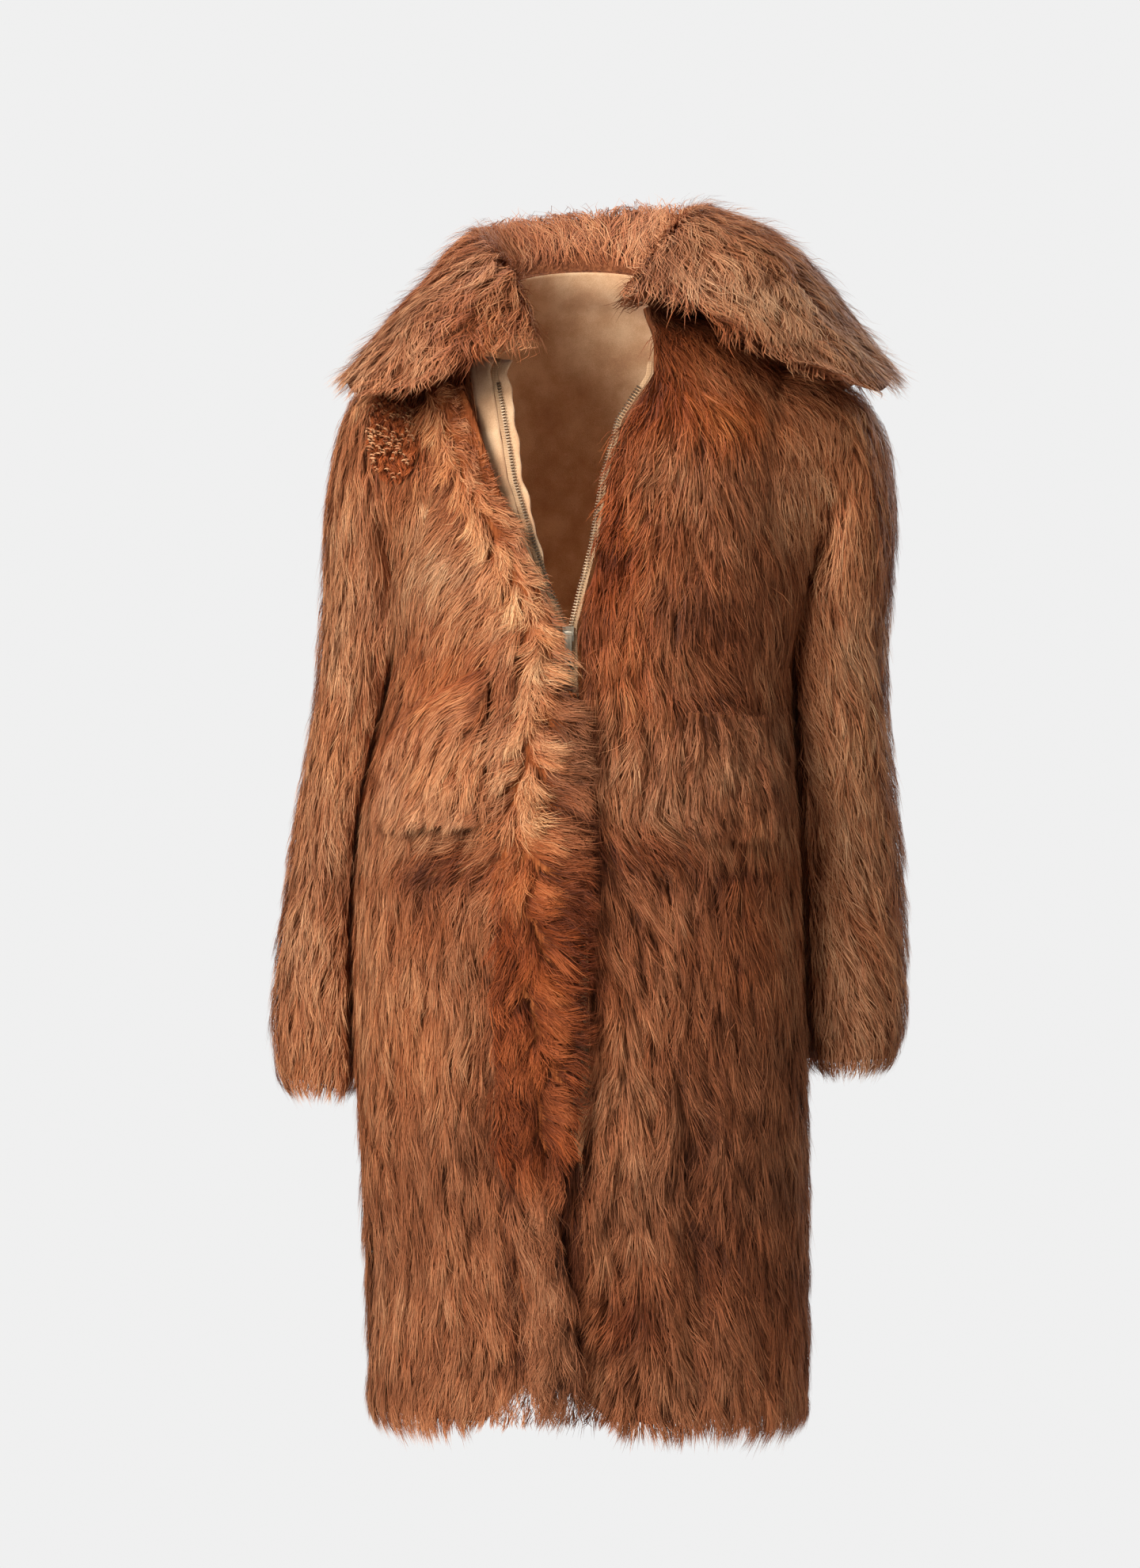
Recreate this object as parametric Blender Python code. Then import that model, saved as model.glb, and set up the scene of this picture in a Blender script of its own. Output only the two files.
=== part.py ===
"""A worn shearling coat, fur side out, as its cut and sewn pieces.

Metres, +Z up, the wearer faces -Y and the wearer's left is +X. The origin is at
the nape, where the neck and shoulders carry the coat. Every fur piece is a wall
from the skin side to the ends of the pile.
"""
import bpy
import numpy as np

# Driving dimensions
pile_wall = 0.014          # pelt and lying pile of the body and sleeves
collar_wall = 0.020        # the collar has fur on both of its faces
placket_wall = 0.011       # fur strip that guards the zip
pocket_wall = 0.009
suede_wall = 0.0015        # bare facing beside the zip
tape_wall = 0.0010
hem_scallop = 0.007        # height of the uneven scallops along the hem
seam_gap = 0.0004          # between two sewn pieces
neck_gap = 0.0010          # under the collar, whose points are not those of the panels
lay_gap = 0.0006           # between a piece and the one that lies on it
sleeve_columns = 20        # also sets the rows of the body round the armhole
vee_bottom = -0.272        # height at which the zip is closed
zip_end = -0.720
zip_top = -0.050
facing_low = -0.210
collar_rim = 0.014         # the collar's wall at its seam and at its edge
collar_rows = (0.0, 0.5, 1.0, 1.5, 2.0, 2.5, 3.0, 3.6, 4.2, 4.7, 5.0)
collar_columns = 28
strip_low = -0.918         # the foot and top of the fur strip
strip_high = -0.076
strip_lift = 0.0025        # how much further out it lies near its top
lift_start = -0.160
lift_end = -0.110

# Level sections of the body, hem to neck. right, left, front and back are its
# reach to each side, square is 2 for an oval and more for a boxier section, and
# taper is how much narrower the section is behind, where the sleeves hang.
body_columns = ("name", "front_z", "back_z", "right", "left", "front", "back", "square",
                "taper")
body_table = (
    ("hem", -0.930, -0.930, -0.181, 0.193, -0.152, 0.120, 2.30, 0.04),
    ("knee", -0.800, -0.800, -0.184, 0.193, -0.154, 0.119, 2.30, 0.06),
    ("thigh", -0.670, -0.670, -0.190, 0.192, -0.157, 0.119, 2.25, 0.25),
    ("hip", -0.545, -0.545, -0.193, 0.187, -0.160, 0.118, 2.20, 0.42),
    ("pocket", -0.430, -0.430, -0.187, 0.182, -0.159, 0.113, 2.15, 0.46),
    ("waist", -0.325, -0.325, -0.164, 0.176, -0.152, 0.105, 2.15, 0.40),
    ("chest", -0.230, -0.230, -0.152, 0.180, -0.143, 0.107, 2.20, 0.18),
    ("scye", -0.150, -0.135, -0.152, 0.186, -0.134, 0.112, 2.25, 0.00),
    ("shoulder", -0.085, -0.040, -0.144, 0.176, -0.126, 0.106, 2.20, 0.00),
    ("slope", -0.045, 0.005, -0.116, 0.132, -0.112, 0.090, 2.10, 0.00),
    ("base", -0.022, 0.028, -0.085, 0.089, -0.094, 0.072, 2.00, 0.00),
    ("neck", -0.008, 0.044, -0.078, 0.082, -0.088, 0.064, 2.00, 0.00),
)
armhole_low = 6.02         # in rows of the table above
armhole_high = 8.35
armhole_turn = 0.62        # half its opening, as an angle round the body
armhole_ease = 0.0012      # the sleeve's root is this much smaller than its hole
armhole_lip = 0.0010       # and turns out this far in front of it

# Front edges: the line of the zip's teeth on each side, and how far the fur
# wall of each front stands back from it.
edge_columns = ("name", "z", "right", "left", "right_back", "left_back")
edge_table = (
    ("hem", -0.960, 0.004, 0.004, 0.0016, 0.0016),
    ("slit", -0.760, 0.000, 0.000, 0.0020, 0.0020),
    ("zip_end", -0.700, -0.001, -0.001, 0.0200, 0.0100),
    ("hip", -0.500, -0.006, -0.006, 0.0200, 0.0100),
    ("vee", -0.272, -0.0115, -0.0115, 0.0200, 0.0100),
    ("rib", -0.240, -0.0265, -0.0035, 0.0180, 0.0100),
    ("bust", -0.205, -0.0400, 0.0060, 0.0165, 0.0095),
    ("breast", -0.150, -0.0580, 0.0150, 0.0190, 0.0090),
    ("collarbone", -0.100, -0.0670, 0.0285, 0.0270, 0.0080),
    ("top", -0.060, -0.0740, 0.0540, 0.0260, 0.0070),
    ("slope", -0.045, -0.0700, 0.0560, 0.0200, 0.0060),
    ("base", -0.022, -0.0620, 0.0560, 0.0080, 0.0060),
    ("neck", -0.008, -0.0560, 0.0540, 0.0060, 0.0050),
)

# The fur strip over the zip, by height: its outer and inner edge.
placket_columns = ("name", "z", "outer", "inner")
placket_table = (
    ("tip", -0.918, -0.0330, 0.0030),
    ("tongue_low", -0.895, -0.0420, 0.0020),
    ("tongue", -0.830, -0.0520, -0.0050),
    ("tongue_high", -0.735, -0.0600, -0.0190),
    ("thigh", -0.690, -0.0700, -0.0080),
    ("skirt", -0.600, -0.0740, -0.0020),
    ("break", -0.490, -0.0665, 0.0030),
    ("pocket", -0.430, -0.0710, 0.0010),
    ("waist", -0.338, -0.0690, 0.0000),
    ("below_tab", -0.327, -0.0680, -0.0020),
    ("tab", -0.318, -0.0660, -0.0205),
    ("vee", -0.265, -0.0640, -0.0215),
    ("bust", -0.210, -0.0800, -0.0460),
    ("breast", -0.150, -0.1040, -0.0680),
    ("collarbone", -0.100, -0.1250, -0.0840),
    ("top", -0.076, -0.1300, -0.0960),
)

# Pocket patches: the corners as x, z.
pocket_columns = ("name", "top_in", "top_in_z", "top_out", "top_out_z",
                  "low_in", "low_in_z", "low_out", "low_out_z")
pocket_table = (
    ("pocket_right", -0.0730, -0.3000, -0.1460, -0.3400, -0.0745, -0.4320, -0.1720, -0.4350),
    ("pocket_left", 0.0830, -0.3380, 0.1560, -0.3420, 0.0800, -0.4400, 0.1620, -0.4420),
)

# Large folds of the body: middle x and z, half width, half height and depth.
# A negative side is the back.
fold_columns = ("name", "side", "x", "z", "wide", "high", "depth")
fold_table = (
    ("under_pocket", 1, -0.105, -0.462, 0.050, 0.012, 0.0085),
    ("under_pocket_slant", 1, -0.075, -0.480, 0.020, 0.022, 0.0070),
    ("waist_break", 1, 0.115, -0.315, 0.060, 0.014, 0.0065),
    ("beside_strip", 1, -0.088, -0.700, 0.011, 0.190, 0.0070),
    ("skirt_left", 1, 0.096, -0.780, 0.015, 0.150, 0.0085),
    ("skirt_left_hollow", 1, 0.040, -0.800, 0.024, 0.050, 0.0075),
    ("skirt_right", 1, -0.140, -0.780, 0.016, 0.120, 0.0065),
    ("chest_left", 1, 0.080, -0.230, 0.030, 0.030, 0.0050),
    ("back_waist", -1, 0.030, -0.340, 0.090, 0.016, 0.0080),
    ("back_waist_low", -1, -0.070, -0.395, 0.060, 0.014, 0.0065),
    ("back_fold_right", -1, -0.085, -0.720, 0.017, 0.170, 0.0090),
    ("back_fold_middle", -1, 0.012, -0.780, 0.016, 0.120, 0.0075),
    ("back_fold_left", -1, 0.105, -0.700, 0.017, 0.180, 0.0090),
)

# Rings of a sleeve: its middle, half size across and along Y, and its lean,
# 0 for an upright ring as at the armhole and 90 for a level one.
sleeve_columns_of = ("name", "x", "y", "z", "across", "deep", "lean")
sleeve_tables = {
    "sleeve_right": (
        ("cap", -0.176, 0.008, -0.146, 0.078, 0.070, 14),
        ("upper", -0.182, 0.014, -0.197, 0.056, 0.069, 40),
        ("biceps", -0.176, 0.024, -0.285, 0.050, 0.067, 84),
        ("above_elbow", -0.185, 0.034, -0.370, 0.052, 0.066, 90),
        ("elbow", -0.194, 0.040, -0.430, 0.054, 0.064, 90),
        ("forearm", -0.204, 0.036, -0.520, 0.056, 0.061, 92),
        ("wrist", -0.212, 0.028, -0.595, 0.054, 0.058, 92),
        ("cuff", -0.211, 0.024, -0.660, 0.050, 0.055, 90),
    ),
    "sleeve_left": (
        ("cap", 0.216, 0.010, -0.146, 0.078, 0.070, 20),
        ("upper", 0.225, 0.016, -0.197, 0.060, 0.070, 46),
        ("biceps", 0.204, 0.026, -0.290, 0.059, 0.068, 88),
        ("above_elbow", 0.206, 0.034, -0.370, 0.060, 0.067, 90),
        ("elbow", 0.213, 0.040, -0.430, 0.061, 0.065, 90),
        ("forearm", 0.219, 0.034, -0.520, 0.060, 0.062, 88),
        ("wrist", 0.222, 0.026, -0.590, 0.057, 0.059, 88),
        ("cuff", 0.219, 0.022, -0.640, 0.053, 0.056, 90),
    ),
}

# Stations of the collar, from the right front round the back to the left front:
# the angle round the neck, then a point of its fold, of the middle of its leaf
# and of its edge.
collar_names = ("name", "turn", "fold_x", "fold_y", "fold_z", "mid_x", "mid_y", "mid_z",
                "edge_x", "edge_y", "edge_z")
collar_table = (
    ("right_end", 218, -0.036, -0.112, -0.034, -0.110, -0.150, -0.058, -0.184, -0.124, -0.080),
    ("right_tip", 204, -0.058, -0.086, 0.030, -0.134, -0.092, 0.000, -0.200, -0.088, -0.072),
    ("right_side", 180, -0.088, -0.005, 0.064, -0.142, 0.010, 0.016, -0.200, 0.010, -0.054),
    ("right_back", 146, -0.076, 0.072, 0.082, -0.120, 0.112, 0.020, -0.165, 0.143, -0.078),
    ("nape_right", 112, -0.035, 0.096, 0.090, -0.050, 0.140, 0.024, -0.070, 0.166, -0.100),
    ("nape_left", 72, 0.035, 0.098, 0.098, 0.055, 0.140, 0.032, 0.080, 0.166, -0.100),
    ("left_back", 36, 0.080, 0.076, 0.096, 0.140, 0.108, 0.048, 0.200, 0.140, -0.075),
    ("left_side", 4, 0.096, -0.004, 0.086, 0.182, 0.012, 0.052, 0.264, 0.012, -0.052),
    ("left_tip", -22, 0.078, -0.078, 0.068, 0.168, -0.088, 0.026, 0.256, -0.088, -0.076),
    ("left_end", -44, 0.038, -0.113, 0.012, 0.122, -0.150, -0.028, 0.212, -0.132, -0.064),
)

# Zip slider, and the pull tab that swings on its pin
slider_wide = 0.0090
slider_high = 0.0120
slider_deep = 0.0022
ear_wide = 0.0010
ear_high = 0.0030
pin_radius = 0.0006
pin_out = 0.0024           # the pin's middle from the face of the plate
tab_wide = 0.0056
tab_long = 0.0260
tab_thick = 0.0014
tab_hole = 0.0014
eye_radius = 0.0018        # the rounded top of the tab, round the pin
metal_gap = 0.0003
tape_out = -0.013          # the tapes lie just in front of the skin side
tape_gap = 0.0006          # from the line of the teeth to each tape
tape_wide = 0.0062
facing_in = 0.0050         # the facing's edges, from the line of the teeth
facing_show = 0.0080

collection_name = "shearling_coat"


def columns_of(names, rows):
    """The table as one array for each named column."""
    found = {}
    for index, column in enumerate(names[1:], start=1):
        found[column] = np.array([row[index] for row in rows], float)
    return found


def smooth(values, position):
    """A cubic through the values, read at a fractional row number."""
    last = len(values) - 1
    position = np.clip(position, 0.0, last)
    low = np.minimum(position.astype(int), last - 1)
    part = position - low
    slopes = np.gradient(values)
    start = values[low]
    end = values[low + 1]
    square = part * part
    cube = square * part
    return ((2 * cube - 3 * square + 1) * start + (cube - 2 * square + part) * slopes[low]
            + (3 * square - 2 * cube) * end + (cube - square) * slopes[low + 1])


body = columns_of(body_columns, body_table)
edges = columns_of(edge_columns, edge_table)
placket = columns_of(placket_columns, placket_table)
folds = columns_of(fold_columns, fold_table)
neck_row = len(body_table) - 1.0


def heights_of(rows):
    """The height of each table row at the middle of the front."""
    return smooth(body["front_z"], rows)


def row_of(heights):
    """The table row at a height of the middle of the front."""
    rows = np.linspace(0.0, neck_row, 801)
    return np.interp(heights, heights_of(rows), rows)


def edge_at(column, z):
    """A column of the front edge table, at a height."""
    return np.interp(z, edges["z"], edges[column])


def body_plain(turn, row):
    """A point of the body's outside without folds, by angle and table row."""
    right = smooth(body["right"], row)
    left = smooth(body["left"], row)
    front = smooth(body["front"], row)
    back = smooth(body["back"], row)
    power = 2.0 / smooth(body["square"], row)
    across = np.sign(np.cos(turn)) * np.abs(np.cos(turn)) ** power
    along = np.sign(np.sin(turn)) * np.abs(np.sin(turn)) ** power
    across = across * (1 - smooth(body["taper"], row) * np.clip(along, 0.0, 1.0) ** 2)
    x = (left + right) / 2 + (left - right) / 2 * across
    y = (back + front) / 2 + (back - front) / 2 * along
    low = smooth(body["front_z"], row)
    high = smooth(body["back_z"], row)
    z = (high + low) / 2 + (high - low) / 2 * along
    z = z + hem_lift(turn) * np.clip(1 - row / 0.9, 0.0, 1.0) ** 2
    return np.stack([x, y, z], axis=-1)


def hem_lift(turn):
    """The hem hangs in uneven shallow scallops, a few to each panel."""
    wave = np.sin(5 * turn + 0.7) + 0.6 * np.sin(8 * turn + 2.1) + 0.4 * np.sin(13 * turn)
    return hem_scallop * (0.5 + 0.25 * wave)


def fold_depth(points):
    """How far the large folds sink in at each point."""
    x, y, z = points[..., 0], points[..., 1], points[..., 2]
    total = np.zeros(x.shape)
    for side, fx, fz, wide, high, depth in zip(
            folds["side"], folds["x"], folds["z"], folds["wide"], folds["high"], folds["depth"]):
        facing = np.clip(0.5 - side * (y + 0.02) / 0.06, 0.0, 1.0)
        total += facing * depth * np.exp(-((x - fx) / wide) ** 2 - ((z - fz) / high) ** 2)
    return total


def body_point(turn, row, out=0.0, folded=True):
    """A point of the body, moved out along the smooth surface's normal."""
    turn, row = np.broadcast_arrays(np.asarray(turn, float), np.asarray(row, float))
    step = 1e-3
    here = body_plain(turn, row)
    round_body = body_plain(turn + step, row) - body_plain(turn - step, row)
    low = np.maximum(row - 0.02, 0.0)
    high = np.minimum(row + 0.02, neck_row)
    up_body = body_plain(turn, high) - body_plain(turn, low)
    normal = np.cross(round_body, up_body)
    normal /= np.linalg.norm(normal, axis=-1, keepdims=True)
    sink = fold_depth(here) if folded else 0.0
    return here + normal * np.asarray(out - sink)[..., None]


def front_turn(x, row):
    """The angle of the front point with this x, in a table row."""
    right = smooth(body["right"], row)
    left = smooth(body["left"], row)
    part = np.clip((x - (left + right) / 2) / ((left - right) / 2), -1.0, 1.0)
    square = smooth(body["square"], row)
    return -np.arccos(np.sign(part) * np.abs(part) ** (square / 2))


def front_row(x, z):
    """The fractional table row of the front point with this x and z."""
    rows = np.linspace(0.0, neck_row, 801)
    heights = smooth(body["front_z"], rows)
    wanted = z.copy()
    for _ in range(12):
        row = np.interp(wanted, heights, rows)
        wanted = wanted + (z - body_plain(front_turn(x, row), row)[..., 2])
    return row


def front_point(x, z, out):
    """A point of the front without its folds, by x and z, moved out."""
    x, z = np.broadcast_arrays(np.asarray(x, float), np.asarray(z, float))
    row = front_row(x, z)
    return body_point(front_turn(x, row), row, out, folded=False)


def material(name, colour, roughness, metallic=0.0):
    """A plain finish, one for each slot of the record."""
    made = bpy.data.materials.new(name)
    made.use_nodes = True
    shader = made.node_tree.nodes["Principled BSDF"]
    shader.inputs["Base Color"].default_value = (*colour, 1.0)
    shader.inputs["Roughness"].default_value = roughness
    shader.inputs["Metallic"].default_value = metallic
    return made


def add_mesh(name, points, faces, finish):
    """A smooth mesh object in the coat's collection."""
    mesh = bpy.data.meshes.new(name)
    mesh.from_pydata(points.tolist(), [], faces)
    mesh.materials.append(finish)
    mesh.update()
    mesh.shade_smooth()
    made = bpy.data.objects.new(name, mesh)
    bpy.data.collections[collection_name].objects.link(made)
    return made


def add_wall(name, outer, inner, finish, tube=False):
    """A closed wall between two grids of points. A tube closes along its columns."""
    rows, columns = outer.shape[:2]
    number = np.arange(rows * columns).reshape(rows, columns)
    if tube:
        number = np.concatenate([number, number[:, :1]], axis=1)
    a, b, c, d = number[:-1, :-1], number[:-1, 1:], number[1:, 1:], number[1:, :-1]
    outside = np.stack([a, b, c, d], axis=-1).reshape(-1, 4)
    inside = np.stack([d, c, b, a], axis=-1).reshape(-1, 4) + rows * columns
    if tube:
        rims = (number[0][::-1], number[-1])
    else:
        rims = (np.concatenate([number[0, ::-1], number[1:, 0], number[-1, 1:],
                                number[-2:0:-1, -1], number[0, -1:]]),)
    faces = [outside, inside]
    for rim in rims:
        first, second = rim[:-1], rim[1:]
        faces.append(np.stack([first, second, second + rows * columns,
                               first + rows * columns], axis=-1))
    points = np.concatenate([outer.reshape(-1, 3), inner.reshape(-1, 3)])
    made = add_mesh(name, points, np.concatenate(faces).tolist(), finish)
    turn_out(made)
    return made


def turn_out(made):
    """Faces made to point out of the solid."""
    points = np.array([vertex.co[:] for vertex in made.data.vertices])
    volume = 0.0
    for face in made.data.polygons:
        corners = points[list(face.vertices)]
        for second in range(1, len(corners) - 1):
            volume += np.dot(corners[0], np.cross(corners[second], corners[second + 1]))
    if volume < 0:
        made.data.flip_normals()


def armhole_rows():
    """Table rows at which the armhole's edge has its points, low to high."""
    turn = np.linspace(np.pi, 0.0, sleeve_columns // 2 + 1)
    middle = (armhole_high + armhole_low) / 2
    return middle + (armhole_high - armhole_low) / 2 * np.cos(turn)


def side_turn(row):
    """The angle from the side seam, or from the side of the armhole, to the middle."""
    middle = (armhole_high + armhole_low) / 2
    half = (armhole_high - armhole_low) / 2
    inside = np.clip(1 - ((row - middle) / half) ** 2, 0.0, 1.0)
    deep = (smooth(body["back"], row) - smooth(body["front"], row)) / 2
    gap = np.arcsin((seam_gap / 2 / deep) ** (smooth(body["square"], row) / 2))
    return np.maximum(gap, armhole_turn * np.sqrt(inside))


def panel_rows():
    """Table rows of every body panel, so that their seams meet."""
    low = np.linspace(0.0, armhole_low, 16)[:-1]
    high = np.linspace(armhole_high, neck_row, 4)[1:]
    return np.concatenate([low, armhole_rows(), high])


def build_panel(name, start, end, columns, finish):
    """A body panel between two edges, given as angles for each table row."""
    rows = panel_rows()[:, None]
    part = np.linspace(0.0, 1.0, columns + 1)[None, :]
    turn = start(rows) + (end(rows) - start(rows)) * part
    rows = np.broadcast_to(rows, turn.shape)
    return add_wall(name, body_point(turn, rows), body_point(turn, rows, -pile_wall), finish)


def front_edge_turn(side):
    """The angle of a front's free edge, as a function of the table row."""
    def turn_at(rows):
        z = smooth(body["front_z"], rows)
        x = edge_at(side, z)
        back = edge_at(side + "_back", z)
        return front_turn(x - back if side == "right" else x + back, rows)
    return turn_at


def build_sleeve(name, finish):
    """Rings from the armhole to the cuff, with a wall through the armhole."""
    rings = columns_of(sleeve_columns_of, sleeve_tables[name])
    side = 1.0 if name == "sleeve_left" else -1.0
    phase = np.linspace(0.0, 2 * np.pi, sleeve_columns + 1)[:-1]
    middle = (armhole_high + armhole_low) / 2
    row = middle + (armhole_high - armhole_low) / 2 * np.cos(phase)
    turn = armhole_turn * np.sin(phase)
    if side < 0:
        turn = np.pi - turn
    through = []
    for out in (-pile_wall, armhole_lip):
        loop = body_point(turn, row, out)
        towards = loop.mean(axis=0) - loop
        towards /= np.linalg.norm(towards, axis=1, keepdims=True)
        through.append(loop + towards * armhole_ease)
    stack = list(through)
    for x, y, z, across, deep, lean in zip(*(rings[key] for key in sleeve_columns_of[1:])):
        tilt = np.radians(lean)
        up = np.array([side * np.sin(tilt), 0.0, np.cos(tilt)]) * across
        back = np.array([0.0, deep, 0.0])
        stack.append(np.array([x, y, z]) + np.cos(phase)[:, None] * up
                     + np.sin(phase)[:, None] * back)
    stack = np.array(stack)
    places = np.concatenate([[0.0, 1.0, 1.45], np.linspace(2.0, len(stack) - 1.0, 13)])
    slopes = np.gradient(stack, axis=0)
    slopes[1] = stack[2] - stack[1]
    grid = np.stack([line_at(stack, slopes, place) for place in places])
    grid[2:] = clear_of_body(grid[2:])
    inner = grid - ring_normals(grid) * pile_wall
    inner[0] = through[0] - ring_normals(grid)[0] * pile_wall
    return add_wall(name, grid, inner, finish, tube=True)


def line_at(lines, slopes, place):
    """The line or ring at a fractional place on a cubic through the given ones."""
    low = min(int(place), len(lines) - 2)
    part = place - low
    square = part * part
    cube = square * part
    return ((2 * cube - 3 * square + 1) * lines[low] + (cube - 2 * square + part) * slopes[low]
            + (3 * square - 2 * cube) * lines[low + 1] + (cube - square) * slopes[low + 1])


def ring_normals(grid):
    """Outward normals of a tube given as rings of points."""
    along = np.gradient(grid, axis=0)
    around = np.roll(grid, -1, axis=1) - np.roll(grid, 1, axis=1)
    normal = np.cross(around, along)
    normal /= np.linalg.norm(normal, axis=-1, keepdims=True)
    outward = grid - grid.mean(axis=1, keepdims=True)
    facing = np.sign((normal * outward).sum(axis=-1).mean())
    return normal * facing


def clear_of_body(points, clearance=0.0020):
    """Points below the armhole pushed out of the body's level sections."""
    rows = np.linspace(0.0, neck_row, 801)
    row = np.interp(points[..., 2], smooth(body["front_z"], rows), rows)
    right = smooth(body["right"], row)
    left = smooth(body["left"], row)
    front = smooth(body["front"], row)
    back = smooth(body["back"], row)
    square = smooth(body["square"], row)
    middle = (left + right) / 2
    dy = (points[..., 1] - (back + front) / 2) / ((back - front) / 2)
    narrow = 1 - smooth(body["taper"], row) * np.clip(dy, 0.0, 1.0) ** 2
    round_out = np.clip(1 - np.abs(dy) ** square, 0.0, 1.0) ** (1 / square)
    reach = (left - right) / 2 * narrow * round_out + clearance
    side = np.sign(points[..., 0].mean() - middle)
    below = points[..., 2] < body["front_z"][6] + 0.004
    inside = below & (np.abs(dy) < 1.0) & (side * (points[..., 0] - middle) < reach)
    moved = points.copy()
    moved[..., 0] = np.where(inside, middle + side * reach, points[..., 0])
    return moved


def build_collar(finish):
    """The stand and the leaf in one wall: up from the neck, over, and out to the edge."""
    stations = columns_of(collar_names, collar_table)
    along = np.linspace(0.0, len(collar_table) - 1.0, collar_columns)
    turn = np.radians(smooth(stations["turn"], along))
    fold, mid, edge = (
        np.stack([smooth(stations[place + "_" + axis], along) for axis in "xyz"], axis=-1)
        for place in ("fold", "mid", "edge"))
    last = np.full(turn.shape, neck_row)
    up = np.array([0.0, 0.0, 1.0])
    seam = body_point(turn, last, -pile_wall) + up * neck_gap
    under_seam = body_point(turn, last) + up * neck_gap
    inward = seam - under_seam
    stand = seam * 0.5 + fold * 0.5 + inward * 0.75
    bend = fold * 0.62 + mid * 0.38 + up * 0.009
    lines = np.stack([seam, stand, fold, bend, mid, edge])
    slopes = np.gradient(lines, axis=0)
    grid = np.stack([line_at(lines, slopes, place) for place in collar_rows])
    normal = np.cross(np.gradient(grid, axis=0), np.gradient(grid, axis=1))
    normal /= np.linalg.norm(normal, axis=-1, keepdims=True)
    if normal[-2, :, 2].mean() < 0:
        normal = -normal
    thick = np.interp(collar_rows, [0.0, 1.0, 3.0, 5.0],
                      [collar_rim, collar_wall, collar_wall, collar_rim])
    under = grid - normal * thick[:, None, None]
    under[0] = under_seam
    return add_wall("collar", grid, under, finish)


def build_strip(name, rows, first, second, columns, low_out, high_out, finish):
    """A strip on the front between two edges, given as x for each height."""
    row = rows[:, None]
    z = smooth(body["front_z"], row)
    part = np.linspace(0.0, 1.0, columns + 1)[None, :]
    turn = front_turn(first(z) + (second(z) - first(z)) * part, row)
    row = np.broadcast_to(row, turn.shape)
    outer = body_point(turn, row, high_out, folded=False)
    return add_wall(name, outer, body_point(turn, row, low_out, folded=False), finish)


def build_pocket(row, finish):
    """A patch on the front between four corners, fuller towards its foot."""
    corner = dict(zip(pocket_columns, row))
    down = np.linspace(0.0, 1.0, 8)[:, None]
    side = np.linspace(0.0, 1.0, 8)[None, :]
    top_x = corner["top_in"] + (corner["top_out"] - corner["top_in"]) * side
    low_x = corner["low_in"] + (corner["low_out"] - corner["low_in"]) * side
    top_z = corner["top_in_z"] + (corner["top_out_z"] - corner["top_in_z"]) * side
    low_z = corner["low_in_z"] + (corner["low_out_z"] - corner["low_in_z"]) * side
    x = top_x + (low_x - top_x) * down
    z = top_z + (low_z - top_z) * down
    swell = pocket_wall * (0.55 + 0.45 * down) * np.ones_like(side)
    return add_wall(corner["name"], front_point(x, z, lay_gap + swell),
                    front_point(x, z, lay_gap), finish)


def build_placket(finish):
    """The fur strip that guards the zip, with rows close together beside the tab's notch."""
    heights = np.concatenate([
        np.linspace(strip_low, placket["z"][8], 17), placket["z"][9:12],
        np.linspace(placket["z"][11] + 0.020, strip_high, 8)])
    lift = np.interp(heights, [lift_start, lift_end], [lay_gap, lay_gap + strip_lift])[:, None]
    build_strip("placket", row_of(heights),
                lambda z: np.interp(z, placket["z"], placket["outer"]),
                lambda z: np.interp(z, placket["z"], placket["inner"]),
                5, lift, lift + placket_wall, finish)


def build_zip(tape_finish, suede_finish):
    """The two tapes, the bare suede beside the right one and the facing behind it."""
    rows = panel_rows()
    rows = rows[(heights_of(rows) > zip_end) & (heights_of(rows) < zip_top)]
    build_strip("zip_tape_right", rows,
                lambda z: edge_at("right", z) - tape_wide,
                lambda z: edge_at("right", z) - tape_gap,
                1, tape_out, tape_out + tape_wall, tape_finish)
    build_strip("zip_tape_left", rows,
                lambda z: edge_at("left", z) + tape_gap,
                lambda z: edge_at("left", z) + edge_at("left_back", z) - seam_gap,
                1, tape_out, tape_out + tape_wall, tape_finish)
    build_strip("suede_right", rows,
                lambda z: edge_at("right", z) - edge_at("right_back", z) + seam_gap,
                lambda z: edge_at("right", z) - tape_wide - seam_gap,
                2, tape_out, tape_out + suede_wall, suede_finish)
    build_strip("facing_right", rows[heights_of(rows) > facing_low],
                lambda z: edge_at("right", z) - facing_in,
                lambda z: edge_at("right", z) + facing_show,
                2, tape_out - lay_gap - suede_wall, tape_out - lay_gap, suede_finish)


def link_new(name, finish):
    """The primitive just added, named and moved to the coat's collection."""
    made = bpy.context.object
    made.name = name
    made.data.name = name
    for holder in list(made.users_collection):
        holder.objects.unlink(made)
    bpy.data.collections[collection_name].objects.link(made)
    made.data.materials.clear()
    made.data.materials.append(finish)
    return made


def add_block(name, centre, size, finish):
    """A box of a size round its centre."""
    bpy.ops.mesh.primitive_cube_add(size=1.0, location=centre)
    made = link_new(name, finish)
    made.scale = size
    bpy.ops.object.transform_apply(location=False, rotation=False, scale=True)
    return made


def add_rod(name, centre, radius, length, finish, sides=16):
    """A round rod along X."""
    bpy.ops.mesh.primitive_cylinder_add(vertices=sides, radius=radius, depth=length,
                                        location=centre, rotation=(0.0, np.pi / 2, 0.0))
    return link_new(name, finish)


def combine(made, other, operation):
    """A Boolean applied at once, and the other object removed."""
    change = made.modifiers.new(operation.lower(), "BOOLEAN")
    change.operation = operation
    change.object = other
    bpy.context.view_layer.update()
    graph = bpy.context.evaluated_depsgraph_get()
    mesh = bpy.data.meshes.new_from_object(made.evaluated_get(graph))
    made.modifiers.clear()
    made.data = mesh
    bpy.data.objects.remove(other)


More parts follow.
